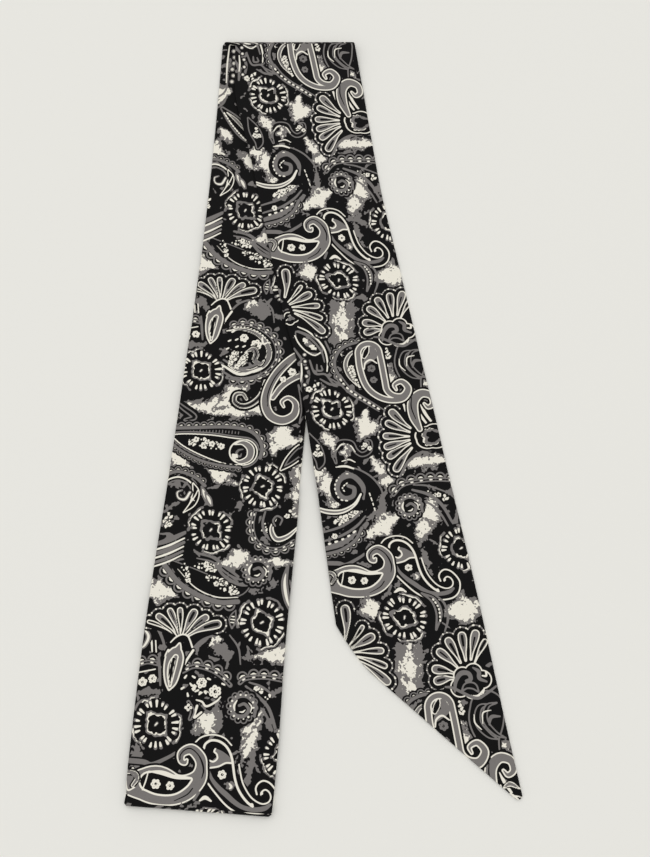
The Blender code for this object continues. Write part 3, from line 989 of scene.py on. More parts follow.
def square_low(cloth):
    """Between the twins and the tulip."""
    patch(cloth, -0.6, 41, 7.5, 4.2, 42, 3)
    shade(cloth, 5.5, 44.5, 2, 5.5, 10, 5)
    patch(cloth, 21.5, 37, 3.4, 8.5, -22, 4)
    shade(cloth, 23.5, 28, 1.4, 6, 5, 5)
    for x, y in (
        (-12.6, 62), (-9.6, 58.6), (-13.4, 56.4), (-8.8, 62.4), (-1.2, 61.6), (-10.6, 53.6), (-1.6, 55.4),
        (6, 60), (-6.6, 55.8),
    ):
        here = Place(cloth, x, y, 25 * x)
        here.lay(here.stroke([(-0.7, 0, 0.55), (0.6, 0.3, 0.4)]), CREAM)
    crumbs(cloth, -4.4, 56.6, 5, 2.6, -8, 3, pitch=3)
    flower(cloth, -4.6, 59.8, 2.7, 10)
    flower(cloth, 2.6, 55.9, 3, 40)
    hair(cloth, (5.3, 53.6), (3.6, 51.4), (-1, 48.6), (-3.4, 50.6), (-6.3, 51.3), ink=CREAM)
    curl(cloth, (-5.6, 48.5, 0.6), (-6.4, 43, 0.6), (-3.2, 45.6, 0.5), bands=((BLACK, -0.6), CREAM))
    curl(cloth, (-10, 50, 1), (-7.6, 46, 1.2), (-8.4, 42, 0.9), bands=(GREY, (BLACK, 0.7)))
    flower(cloth, -9.6, 47.4, 1.9, 0, petals=4)
    left_edge(cloth)
    shade(cloth, -33.6, 45, 1.2, 3, 0, 12)
    lace(cloth, (-14.5, 64.5), (-9, 67.4), (-2.2, 66.6), (4, 64), (9.5, 59.5), r=2.7)
    lace(cloth, (14, 61), (17, 63.4), (26, 64.6), (36, 63.6), r=2.7)
    crumbs(cloth, 26, 57, 6.5, 1.8, -30, 5, pitch=2.2)
    hair(cloth, (17, 59.6), (23, 55.5), (29, 50), (33, 41), (35.5, 34), r=0.8)
    hair(cloth, (21, 52.6), (27.5, 47.5), (31.5, 40), (34, 34), r=0.6)
    hair(cloth, (18.5, 61.6), (25, 59.8), (32, 55.5), r=0.6)
    snail(cloth, 16.2, 49.6, 7.4)
    rosette(cloth, -24.3, 38.4, 12.2, 28, 1)
    rosette(cloth, 38, 28.5, 11, 0, 4)


def square_middle(cloth):
    """The tulip and its fan, and the paisley that swings over them."""
    patch(cloth, -31, 104, 7, 4.4, -8, 5)
    patch(cloth, 30, 76, 8, 2.8, 10, 6)
    shade(cloth, 3.4, 76.4, 7, 3.6, -32, 7)
    patch(cloth, -0.8, 79, 3.2, 2, 30, 8, rim=0.6)
    for ink, r, *line in (
        (GREY, 0.5, (6.6, 84), (11.6, 78), (13.4, 70)),
        (GREY, 0.6, (-14, 70), (-11, 75.4), (-6, 81), (4.6, 85.4)),
        (GREY, 0.7, (-36, 88), (-29.8, 84.8), (-26, 79), (-24.2, 73.5)),
        (CREAM, 0.5, (-36, 83), (-32, 79), (-30.6, 73)), (CREAM, 0.5, (-29.6, 78.6), (-28.6, 73)),
        (GREY, 0.7, (-27, 71), (-25.8, 64), (-24.6, 57)),
    ):
        hair(cloth, *line, ink=ink, r=r)
    curl(cloth, (-37, 85, 1), (-33.4, 80.6, 1.3), (-34.6, 76, 1.2), (-37, 74, 0.8),
         bands=((BLACK, -0.6), GREY, (CREAM, 0.7)))
    curl(cloth, (7.4, 87.6, 0.6), (7.2, 92, 1.9), (8.2, 96.4, 0.6), bands=(GREY, (BLACK, 0.7)))
    dashes(cloth, ((7.2, 89.6, 1), (7.4, 94.6, 1)), 1.5, 1.6, 0.34, across=True)
    body = ((-26, 118, 2), (-17, 112.5, 4.6), (-4, 107.5, 5.4), (8, 107, 3.6), (14, 111, 1.6))
    curl(cloth, *body, bands=((BLACK, -0.4), GREY, (BLACK, 0.6)))
    hair(cloth, (-23, 115.5), (-13, 106.6), (-2, 102.6), (9, 103.2), ink=CREAM, r=0.32)
    lace(cloth, (-30, 117), (-22.5, 109.2), (-15, 104.6), (-8, 101.8), (0, 100), (9, 101), r=2.9, side=-1,
         line=False)
    for scatter in (
        (0.4, 109, 9.6, 2.7, -22, 9, 2.1), (-8.6, 117.6, 7, 2, 4, 10, 2.1),
        (-18, 114, 1.9, 5.6, 32, 12, 2.2),
    ):
        crumbs(cloth, *scatter)
    for rise, r in ((0, 0.9), (-2.6, 0.5)):
        hair(cloth, (-14, 124.4 + rise), (-6, 123.0 + rise), (1, 118.4 + rise), (8, 113.8 + rise), r=r)
    hair(cloth, (-4, 118.6), (1, 113.6), (9, 109.8), (17, 110.5), r=0.8)
    hair(cloth, (2, 115), (8, 112.6), (15, 112.2), r=0.5)
    curl(cloth, (37, 96, 0.6), (33.4, 104, 1.7), (31.5, 113, 1.7), (32.6, 122, 0.6),
         bands=((BLACK, -0.7), GREY, (CREAM, 1.1)))
    fan(cloth, -17.2, 79.1, TULIP_FAN)
    tulip(cloth, -21.3, 54.6)
    snail(cloth, 17, 117.6, 7.6)
    rosette(cloth, 22, 91.4, 12.4, 10, 2)


def square_high(cloth):
    """The curled leaf and two rosettes."""
    for gap in (
        (5.6, 122.8, 5.2, 4.2, 30, 13), (27, 123, 3, 2.4, 0, 18), (-29.6, 174, 4.6, 3.6, -30, 15),
        (-7.4, 167, 5.6, 2.6, -25, 14),
    ):
        patch(cloth, *gap)
    shade(cloth, 4.8, 151.6, 1.8, 2.2, 0, 16)
    for scatter in (
        (-31, 141, 2.6, 4, 0, 17, 2.3), (31.5, 148.5, 3, 2, 30, 19, 2.2), (19, 141.5, 1.6, 4, 0, 21, 2.2),
    ):
        crumbs(cloth, *scatter)
    dashes(cloth, ((-35, 127, 1), (-24.5, 134, 1)), 1.5, 0.8, 0.5, ink=BLACK)
    for ink, r, rise in (
        (GREY, 1.4, 6.4), (CREAM, 0.6, 3.4), (GREY, 1.2, 1.2), (CREAM, 0.6, -1), (GREY, 0.9, -3.4),
        (CREAM, 0.5, -5.4),
    ):
        hair(cloth, (-37, 120.6 + rise), (-29, 124 + rise), (-21.5, 128.4 + rise), ink=ink, r=r)
    lace(cloth, (13, 149), (12.4, 141), (15, 133.6), (21, 129.8), (28, 130), (34.5, 134.4), r=2.3,
         side=-1)
    hair(cloth, (18.6, 150), (17.6, 143), (19.6, 137), (25, 133.4), (32, 136), r=0.7)
    curl(cloth, (24.5, 146.6, 0.5), (22.4, 140, 1.1), (25.4, 134.8, 1.4), (31, 136.6, 1.2),
         (36.5, 142.4, 0.6))
    curl(cloth, (24.2, 141.6, 0.4), (22.8, 144.4, 0.5), (24.6, 147, 0.5), (27.4, 145.6, 0.5),
         (26.6, 142.4, 0.4), bands=((BLACK, -0.6), GREY))
    for r, ink in ((8.6, GREY), (10.4, CREAM), (12.4, GREY)):
        turns = np.radians((170, 130, 90, 50, 15, -14))
        round_head = [(-28 + 0.92 * r * math.cos(a), 154 + r * math.sin(a)) for a in turns]
        hair(cloth, *round_head, ink=ink, r=0.45)
    lace(cloth, (-37, 164), (-29, 167.4), (-20, 165), (-14, 160.6), r=1.9)
    curl(cloth, (-23.6, 145.4, 0.4), (-19.4, 150.6, 1.8), (-18.4, 156.6, 2), (-20.4, 161.4, 0.6),
         bands=((BLACK, -0.5), CREAM, (BLACK, 0.6)))
    hair(cloth, (-21.6, 149), (-18.8, 154.4), (-17.6, 158), ink=CREAM, r=0.35)
    hair(cloth, (-20.8, 154), (-18.6, 152), ink=CREAM, r=0.35)
    for x, y, lean in ((-14.4, 156.4, 22), (-11.6, 153.4, 30)):
        here = Place(cloth, x, y, lean)
        here.lay(here.brush((0, -4.6, 0.7), (0.3, 0, 1.5), (0, 4, 0.5)), GREY, (CREAM, 0.8))
    curl(cloth, (-21.5, 156.5, 0.9), (-23.6, 152.6, 1), (-27, 153, 0.8), (-28, 156, 0.7),
         (-25.6, 157.4, 0.5), bands=((BLACK, -0.7), GREY, (CREAM, 0.45)))
    rosette(cloth, -8.5, 137.1, 11.8, 35, 3)
    rosette(cloth, 15.8, 162.5, 12.2, 5, 5)
    for u, w in ((33.8, 186), (32.8, 176), (34.2, 168), (33.4, 158)):
        patch(cloth, u, w, 1.1, 4.4, 5, int(w))


def square_top(cloth):
    """The lying paisley under its lace, and the tall one on its curl."""
    patch(cloth, 23, 190, 4.6, 8, -14, 18)
    curl(cloth, (24.5, 172.4, 0.5), (28.6, 177.4, 2.6), (33.4, 183, 3.3), (38, 188, 2),
         bands=((BLACK, -1.4), (CREAM, -0.4), (BLACK, 0.2), (GREY, 1.2), (BLACK, 1.9)))
    patch(cloth, -10, 205.6, 17, 4.4, 3, 20)
    patch(cloth, -4.5, 212, 6, 4.4, 40, 21)
    curl(cloth, (-36, 207.5, 0.8), (-31, 203.6, 1.4), (-24, 198.6, 1.6), (-28.6, 196.4, 1),
         bands=((BLACK, -1.6), GREY, (BLACK, 0.8)))
    here = Place(cloth)
    ground = here.brush((-37, 186.6, 4), (-26, 185, 7), (-14, 183, 9.4), (-2, 181.4, 11.2),
                        (3.5, 181, 11.2))
    here.lay(ground, BLACK)
    body = here.brush((-35, 187.4, 0.5), (-26, 185, 4), (-14, 182.6, 6.6), (-4, 180.8, 7.6),
                      (4, 180.6, 7.4))
    here.lay(body, (GREY, -1.3), (BLACK, -0.5), (CREAM, -0.1), (BLACK, 0.55))
    dashes(cloth, ((-26, 190.6, 1), (-12, 191.4, 1), (2, 191.2, 1)), 1.7, 1.3, 0.28, GREY, across=True)
    crumbs(cloth, -16, 184, 9.5, 2.6, -8, 23, pitch=2.3)
    lace(cloth, (-36, 191.2), (-22, 192.6), (-8, 194), (3, 193.6), (9.6, 190.6), (13.4, 184.6),
         (13.2, 178), r=2.15)
    lace(cloth, (-35, 183.4), (-28, 178.6), (-18, 174.4), (-8, 172.4), (3, 171.8), r=1.6, side=-1)
    here.lay(here.dot(3, 180.6, 6.7), (BLACK, -0.4), CREAM, (BLACK, 0.8))
    curl(cloth, (-1, 184.6, 0.4), (3.4, 185.8, 1.5), (7.4, 182.8, 2.1), (7.2, 177.6, 1.9),
         (2.8, 175, 1.3), (-0.8, 176.4, 0.5), bands=(CREAM, (GREY, 0.6)))
    curl(cloth, (3.6, 182.2, 0.3), (1.2, 181.4, 0.6), (0.4, 179.2, 0.7), (2.4, 178, 0.5), (3, 179.6, 0.3),
         bands=(GREY,))
    shade(cloth, -0.6, 178, 1, 0.8, 20, 24, CREAM)
    hook = here.brush((12, 222, 1.2), (10, 213.6, 1.5), (5.5, 208.2, 1.6), (0.5, 206.6, 1.5),
                      (-3.6, 209, 1.3), (-3.2, 213, 1.2), (0.4, 213.6, 1), (2.6, 210.8, 0.9))
    here.lay(hook, (BLACK, -1.3), CREAM, (GREY, 0.5), (BLACK, 1))
    for rise, ink in ((0, GREY), (3.4, CREAM), (6.8, GREY)):
        hair(cloth, (-12, 226 + rise), (-2, 221.5 + rise), (9, 226 + rise), ink=ink, r=0.8)
    crumbs(cloth, -5, 234, 6, 5, 0, 25)
    arms = [here.brush((30, 241, 1.4), (24, 235.4, 2.4), (18, 227.6, 2.6), (13.8, 218, 2.6),
                       (13, 209, 2.6), (16.4, 202.2, 2.6), (23, 200, 2.6), (28.6, 203.6, 2.3),
                       (29, 210, 1.8), (25, 213.2, 1.4), (21.6, 210.8, 1.2), (22.8, 207.8, 0.9)),
            here.brush((32, 227.4, 1.6), (26, 224.2, 1.8), (20.6, 219.4, 1.8), (16.6, 212.6, 1.5))]
    here.lay(here.brush((32, 236, 4), (24, 226, 6), (19, 214, 6)), BLACK)
    here.lay(arms, *EDGED)
    hair(cloth, (22.6, 232.8), (16.9, 224.8), (13.8, 215), (14.2, 207.4), ink=BLACK, r=0.34)
    for x, y, r in ((25.8, 228.4, 2.3), (21.2, 223.6, 1.9)):
        flower(cloth, x, y, r, 9 * x)
    curl(cloth, (29.6, 221, 0.5), (32.4, 213.6, 1.5), (33.4, 206, 1.3), (32, 199, 0.5),
         bands=((BLACK, -0.7), GREY, (BLACK, 0.7)))
    hair(cloth, (34.6, 220), (35.4, 211), (34.8, 202), ink=CREAM, r=0.4)


def square_ring(cloth):
    """Higher up, under the crossing: a field of flowers in a ring of lace."""
    shade(cloth, 4.4, 78, 7, 4.6, -35, 7)
    patch(cloth, 2.2, 78.8, 3, 1.8, 30, 3, rim=0.6)
    patch(cloth, -25.6, 107, 5.6, 3.6, -8, 75)
    left_edge(cloth)
    lace(cloth, (-10, 65), (-4, 67.8), (2, 67.4), (8, 64.8), (13.4, 60.4), (16.4, 54.4), (16.4, 47.4),
         (12.6, 41), (6, 37), (-1, 35.2), (-9, 35.6), r=2.5)
    here = Place(cloth)
    here.lay(here.brush((-12, 63.2, 0.4), (-4, 64.8, 0.8), (4, 62.8, 1.1), (10, 57.6, 1.4),
                        (12.4, 51, 1.6), (10, 44.6, 1.7), (4, 40.4, 1.3), (-4, 40.2, 0.8),
                        (-9, 42.6, 0.4)), (BLACK, -0.6), CREAM, (GREY, 0.45))
    dashes(cloth, ((-9, 65.4, 1), (-2, 66.2, 1), (6, 63.4, 1), (12.4, 57.6, 1)), 1.9, 0.8, 0.34)
    for x, y, r in ((-2.2, 59.8, 2.5), (4.6, 56, 3), (-6.6, 47.8, 2.4), (-2, 44.8, 2.2)):
        flower(cloth, x, y, r, 30 * x)
    for x, y in (
        (-8.4, 63), (-9.8, 57.4), (-6, 58.4), (-1.6, 54.6), (-5.4, 54.2), (-10.4, 52.6), (1.6, 51.6),
        (-4.6, 42.4), (0.4, 48),
    ):
        here.lay(here.stroke([(x - 0.6, y - 0.3, 0.5), (x + 0.5, y + 0.4, 0.42)]), CREAM)
    curl(cloth, (-0.4, 51.4, 0.4), (3.6, 53.4, 1.4), (5.4, 50.4, 1.6), (4.8, 46.8, 1.4), (8, 44.8, 1.1),
         (10, 47.2, 0.4), bands=((BLACK, -0.6), CREAM, (GREY, 0.4), (BLACK, 1.2)))
    curl(cloth, (7.6, 60.4, 0.4), (8.6, 57, 0.6), (10.6, 57.6, 0.4), bands=(CREAM,))
    rosette(cloth, -23.4, 38.6, 12.2, 28, 1)


def diagonal_leaf(cloth):
    """Near the top fold: a leaf across the band between bright gaps, and a column of beads."""
    for gap in ((-30, 209, 3.8, 5, 10, 81), (-24, 184, 3, 3.4, 30, 82), (-4, 172, 3.6, 5, 20, 83)):
        patch(cloth, *gap)
    here = Place(cloth)
    leaf = here.brush((-27, 199.4, 0.8), (-20, 192.6, 3.2), (-13, 185.6, 4), (-7.6, 180, 2.4))
    here.lay(leaf, (BLACK, -1.6), (GREY, -0.5), (BLACK, 0.4))
    dashes(cloth, ((-26, 197, 1), (-20, 189, 1), (-13, 181.6, 1), (-8.4, 178, 1)), 1.9, 0.9, 0.5)
    curl(cloth, (-24, 197, 0.4), (-18, 192.4, 1.1), (-12.6, 186.4, 0.5), bands=(CREAM, (GREY, 0.5)))
    curl(cloth, (-13, 190.6, 0.4), (-8.6, 187.4, 1.6), (-6.4, 181.6, 0.5), bands=(GREY, (BLACK, 0.7)))
    for rise, ink in ((0, GREY), (3.6, CREAM), (7, GREY)):
        hair(cloth, (-37, 196 + rise), (-31, 199 + rise), (-26, 204 + rise), (-25.4, 214 + rise), ink=ink,
             r=0.6)
    for y in (217, 221, 225, 229, 233, 237):
        here.lay(here.dot(-22.6 + 0.5 * math.sin(y), y, 1.5), (BLACK, -0.5), GREY, (CREAM, 0.6))
    curl(cloth, (-36, 216, 0.8), (-32.6, 222, 1.6), (-31.6, 231, 1.4), (-33, 242, 0.6),
         bands=(GREY, (BLACK, 0.8)))
    hair(cloth, (-26, 216), (-26.4, 228), (-26, 242), ink=CREAM)


def square_chart(cloth):
    """The whole tail, from its ground up to what lies on top."""
    undergrowth(cloth, 3)
    further = cloth.moved(SQUARE_REPEAT)
    square_low(cloth)
    square_ring(further)
    for stretch in (cloth, further):
        square_middle(stretch)
        square_high(stretch)
    square_top(cloth)
    diagonal_leaf(further)
    square_foot(cloth)


# %% the chart of the pointed tail
POINTED_REPEAT = 192.0
HEART_FAN = ((-82, 17.6, 2.2), (-62, 19.4, 2.2), (-35, 22, 2.1), (-16, 24, 2.1), (3, 24.8, 2.1),
             (20, 26, 2.1), (34, 23, 1.5))
SLANT_FAN = ((-64, 25, 2.3), (-30, 18.6, 1.2), (-8, 19.6, 2.2), (17, 21.8, 1.7), (37, 24, 1.6),
             (53, 28.4, 2))
EYE_FAN = ((-45, 26, 2.1), (-26, 23.8, 2), (-11, 23, 2), (6, 22.6, 1.9), (27, 22.6, 2), (45, 24, 2.2))


def arch(cloth):
    """An upright paisley with a beaked drop and flowers in its field, and a curled foot."""
    here = Place(cloth)
    body = here.brush((4.6, 50, 7.6), (4.4, 42, 7.9), (5, 33, 7.2), (7.4, 26.4, 5), (12, 22.4, 3.4),
                      (18, 21.6, 2.6), (21.8, 26, 2.1), (19.2, 30.6, 1.7), (15, 29.4, 1.3),
                      (15.4, 26.4, 0.9))
    here.lay(body, (BLACK, -1), CREAM, (GREY, 0.7), (CREAM, 3), (BLACK, 3.7))
    here.lay(here.brush((6.4, 52, 1.9), (7.2, 48.4, 2), (3.4, 46.2, 1.9), (1.6, 44.4, 1)), GREY)
    here.lay(here.brush((4.8, 53.6, 0.4), (3.4, 51, 1.2), (1.8, 48.4, 0.8)), (CREAM, -0.5), BLACK)
    hair(cloth, (0.6, 41.2), (1.8, 44.6), (5, 46), (8, 43.4), ink=CREAM)
    for x, y, r in ((4.6, 41, 2.3), (4.4, 34, 2)):
        flower(cloth, *here.out(x, y), r, 30 * y, ink=GREY)


def slant_leaf(cloth):
    """Under the slanted fan: a dark leaf with a bright heart, its ribs, and a column of beads."""
    here = Place(cloth)
    for line in (
        ((-35, 58.4, 0.5), (-31, 49, 0.8), (-29.6, 42, 0.8), (-32.6, 34, 0.7)),
        ((-27.8, 50, 0.5), (-26.2, 42, 0.6), (-20.8, 40.8, 0.6), (-17.6, 35.4, 0.5), (-12.6, 33.4, 0.5)),
        ((-24.4, 47, 0.4), (-24.6, 43.6, 0.6), (-22, 43.4, 0.5), (-22.2, 46, 0.4)),
        ((-36, 47, 0.6), (-34.2, 40, 1.1), (-35.8, 33, 0.6)),
        ((-24, 38.4, 0.4), (-19.6, 35, 0.7), (-15.6, 33.2, 0.4)),
        ((-17.6, 60, 0.5), (-15.4, 50, 0.6), (-17.4, 41, 0.5), (-15.6, 37, 0.4)),
    ):
        here.lay(here.brush(*line), GREY)
    leaf = here.brush((-31.4, 67, 1.2), (-28.8, 62.6, 3.6), (-25.4, 58.6, 4), (-22, 55.4, 2))
    here.lay(leaf, (BLACK, -1.4), (GREY, -0.6), (BLACK, 0.1))
    shade(cloth, -27, 60.4, 1.7, 4, 38, 71)
    shade(cloth, -26.8, 60, 1.1, 3, 38, 72, CREAM)
    dashes(cloth, ((-33.4, 66, 1), (-32, 61, 1), (-29, 56, 1), (-24.8, 52.6, 1), (-20.6, 54, 1)), 1.3, 1,
           0.42)
    for ink, r, line in (
        (CREAM, 0.5, ((-31, 71), (-26, 67.4), (-21.6, 61.6), (-18.8, 55.4), (-18.4, 48), (-19.6, 42.4))),
        (GREY, 0.6, ((-32.4, 68.4), (-27.4, 65.2), (-23.4, 60), (-20.6, 54), (-20, 48))),
        (CREAM, 0.5, ((-32.5, 49), (-33.3, 43), (-34.6, 38.6))),
    ):
        hair(cloth, *line, ink=ink, r=r)
    for x, y in ((-30, 53.8), (-30.4, 49.8), (-30.2, 45.8), (-31, 41), (-32.8, 36.2)):
        here.lay(here.dot(x, y, 1.15), (BLACK, -0.5), GREY, (CREAM, 0.45))
    crumbs(cloth, -28, 34, 3.4, 1.8, 20, 73, pitch=2)
    hub(cloth, -34, 76.8, 4.4, 3.6, 20, 5)


def pointed_low(cloth):
    """From the curls up to the twins."""
    shade(cloth, -9.6, 69, 5.2, 15.5, -10, 32)
    shade(cloth, -3.2, 69, 3.4, 13.5, -10, 30)
    patch(cloth, -6.2, 69.5, 2.5, 14, -10, 31, rim=0.6)
    for gap in (
        (28, 95.5, 9, 5, 6, 33), (-19.5, 103.6, 4.8, 4, 0, 34), (-4.5, 9.2, 4.6, 6.4, -20, 35),
        (-25.4, 3.6, 2.6, 4.8, 10, 36), (13, 34, 1.5, 4.6, 0, 37), (32, 27.5, 2.6, 2.2, 30, 39),
    ):
        patch(cloth, *gap)
    crumbs(cloth, 14.6, 48.4, 1.3, 3.4, 0, 40, pitch=2)
    slant_leaf(cloth)
    lace(cloth, (5.5, 55.6), (-1, 57.4), (-8.6, 55.6), (-13.4, 50.6), (-15, 44.6), (-13.2, 37.6), r=1.9,
         side=-1)
    for aside in (-1.6, 1.6):
        hair(cloth, (-14.4 + aside, 40), (-11.2 + aside, 33), (-7 + aside, 27.5), (-1.5 + aside, 22.4),
             (5.6 + aside, 15.6), r=0.5)
    dashes(cloth, ((-13.6, 38, 1), (-11.2, 33, 1), (-7, 27.5, 1), (-1.5, 22.4, 1), (5.6, 15.6, 1)), 2.9,
           0.9, 0.6)
    curl(cloth, (2, 53, 0.5), (-4.8, 51.6, 1), (-8.8, 46, 1.2), (-8.4, 39, 1), (-4.6, 32, 0.5),
         bands=((BLACK, -0.8), CREAM, (GREY, 0.5)))
    crumbs(cloth, -3.6, 36, 2.4, 9.5, 27, 38, pitch=2.3)
    hair(cloth, (-19, 38.6), (-14.6, 35), (-11.6, 33.4))
    here = Place(cloth, 26, 41)
    here.lay(here.brush((1.6, -17, 1.4), (-1, -9, 5.4), (-0.4, -1, 8.6), (1.4, 5, 8.6)), (BLACK, -0.8),
             GREY, (BLACK, 0.8))
    for aside, r in ((0, 1.5), (3.8, 1.2)):
        curl(cloth, (29.4 + aside, 30.5, 0.4), (25.0 + aside, 33.5, r), (21.4 + aside, 40, 1.2 * r),
             (23.6 + aside, 46.6, r), (28.6 + aside, 47.6, 0.5), bands=(GREY, (BLACK, 0.7)))
    hair(cloth, (23.6, 39), (24.8, 44), (29, 44.6), ink=CREAM, r=0.36)
    curl(cloth, (26.6, 38, 0.4), (28.4, 41.4, 0.9), (32.6, 41, 0.4), bands=(GREY,))
    hair(cloth, (20.4, 44), (20, 40), (22.4, 36.4), ink=CREAM, r=0.36)
    curl(cloth, (23.4, 2, 1.6), (21.8, 10, 2.8), (23, 18, 3), (28, 22, 2.6), (33, 20, 2.2),
         (33.4, 15.4, 1.8), (30.4, 13.6, 1.4), (28.6, 16, 0.9))
    hair(cloth, (22.6, 20.6), (21.4, 15), (22.4, 8), ink=BLACK, r=0.36)
    fan(cloth, 21.4, 59.8, HEART_FAN, start=0.42)
    heart = Place(cloth, 21.4, 59.8)
    rounds = ((-5, -2, 4.4), (-2.6, 3.2, 4.2), (3, 4.2, 4), (6.6, 0, 4.2), (1.4, -3.4, 5))
    lobes = [heart.dot(x, y, r) for x, y, r in rounds]
    heart.lay(lobes, (CREAM, -0.5), (BLACK, 0.15))
    heart.lay(heart.brush((-8, -3.6, 0.5), (-6.4, 1.4, 1), (-3.2, 4.6, 1.2), (0.4, 4, 1.1), (1, 1.2, 1),
                          (-1.4, 0.6, 0.7)), GREY)
    heart.lay([heart.brush((-4.6, -4, 0.5), (-1.8, -1.8, 1.6), (1.6, -2.4, 1.8), (3.4, -5.4, 0.6))], GREY,
              (BLACK, 0.8))
    heart.lay(heart.brush((3.2, 6.4, 0.4), (5.6, 4, 1), (5.2, 0.8, 0.9), (8.4, -1.4, 0.5)), GREY)
    heart.lay(heart.brush((6.8, 1.8, 0.35), (8.8, 1.4, 0.5), (9, 3.6, 0.4)), CREAM)
    heart.lay(heart.brush((-1, -6.6, 0.3), (2.6, -7.4, 0.55), (6, -5, 0.3)), CREAM)
    hair(cloth, (34, 55.5), (28, 52.6), (22.6, 51.6), (13, 58), (9.4, 59.2), r=0.75)
    arch(cloth)
    fan(cloth, -38.5, 83.5, SLANT_FAN, turn=-78, start=0.3)
    curl(cloth, (7, 107, 0.5), (12.2, 102.4, 1.6), (13.6, 95.4, 1.8), (10.6, 87.6, 0.6),
         bands=((BLACK, -0.6), GREY, (BLACK, 1)))
    dashes(cloth, ((11.8, 103.6, 1), (14, 98, 1), (13.4, 91, 1)), 1.9, 0.5, 0.5)
    hair(cloth, (12.6, 106), (17.2, 100), (17.4, 92), (14.6, 86), r=0.6)
    rosette(cloth, -3.8, 96.2, 12, 45, 6)
    rosette(cloth, -20.6, 20.7, 11.8, 20, 7)


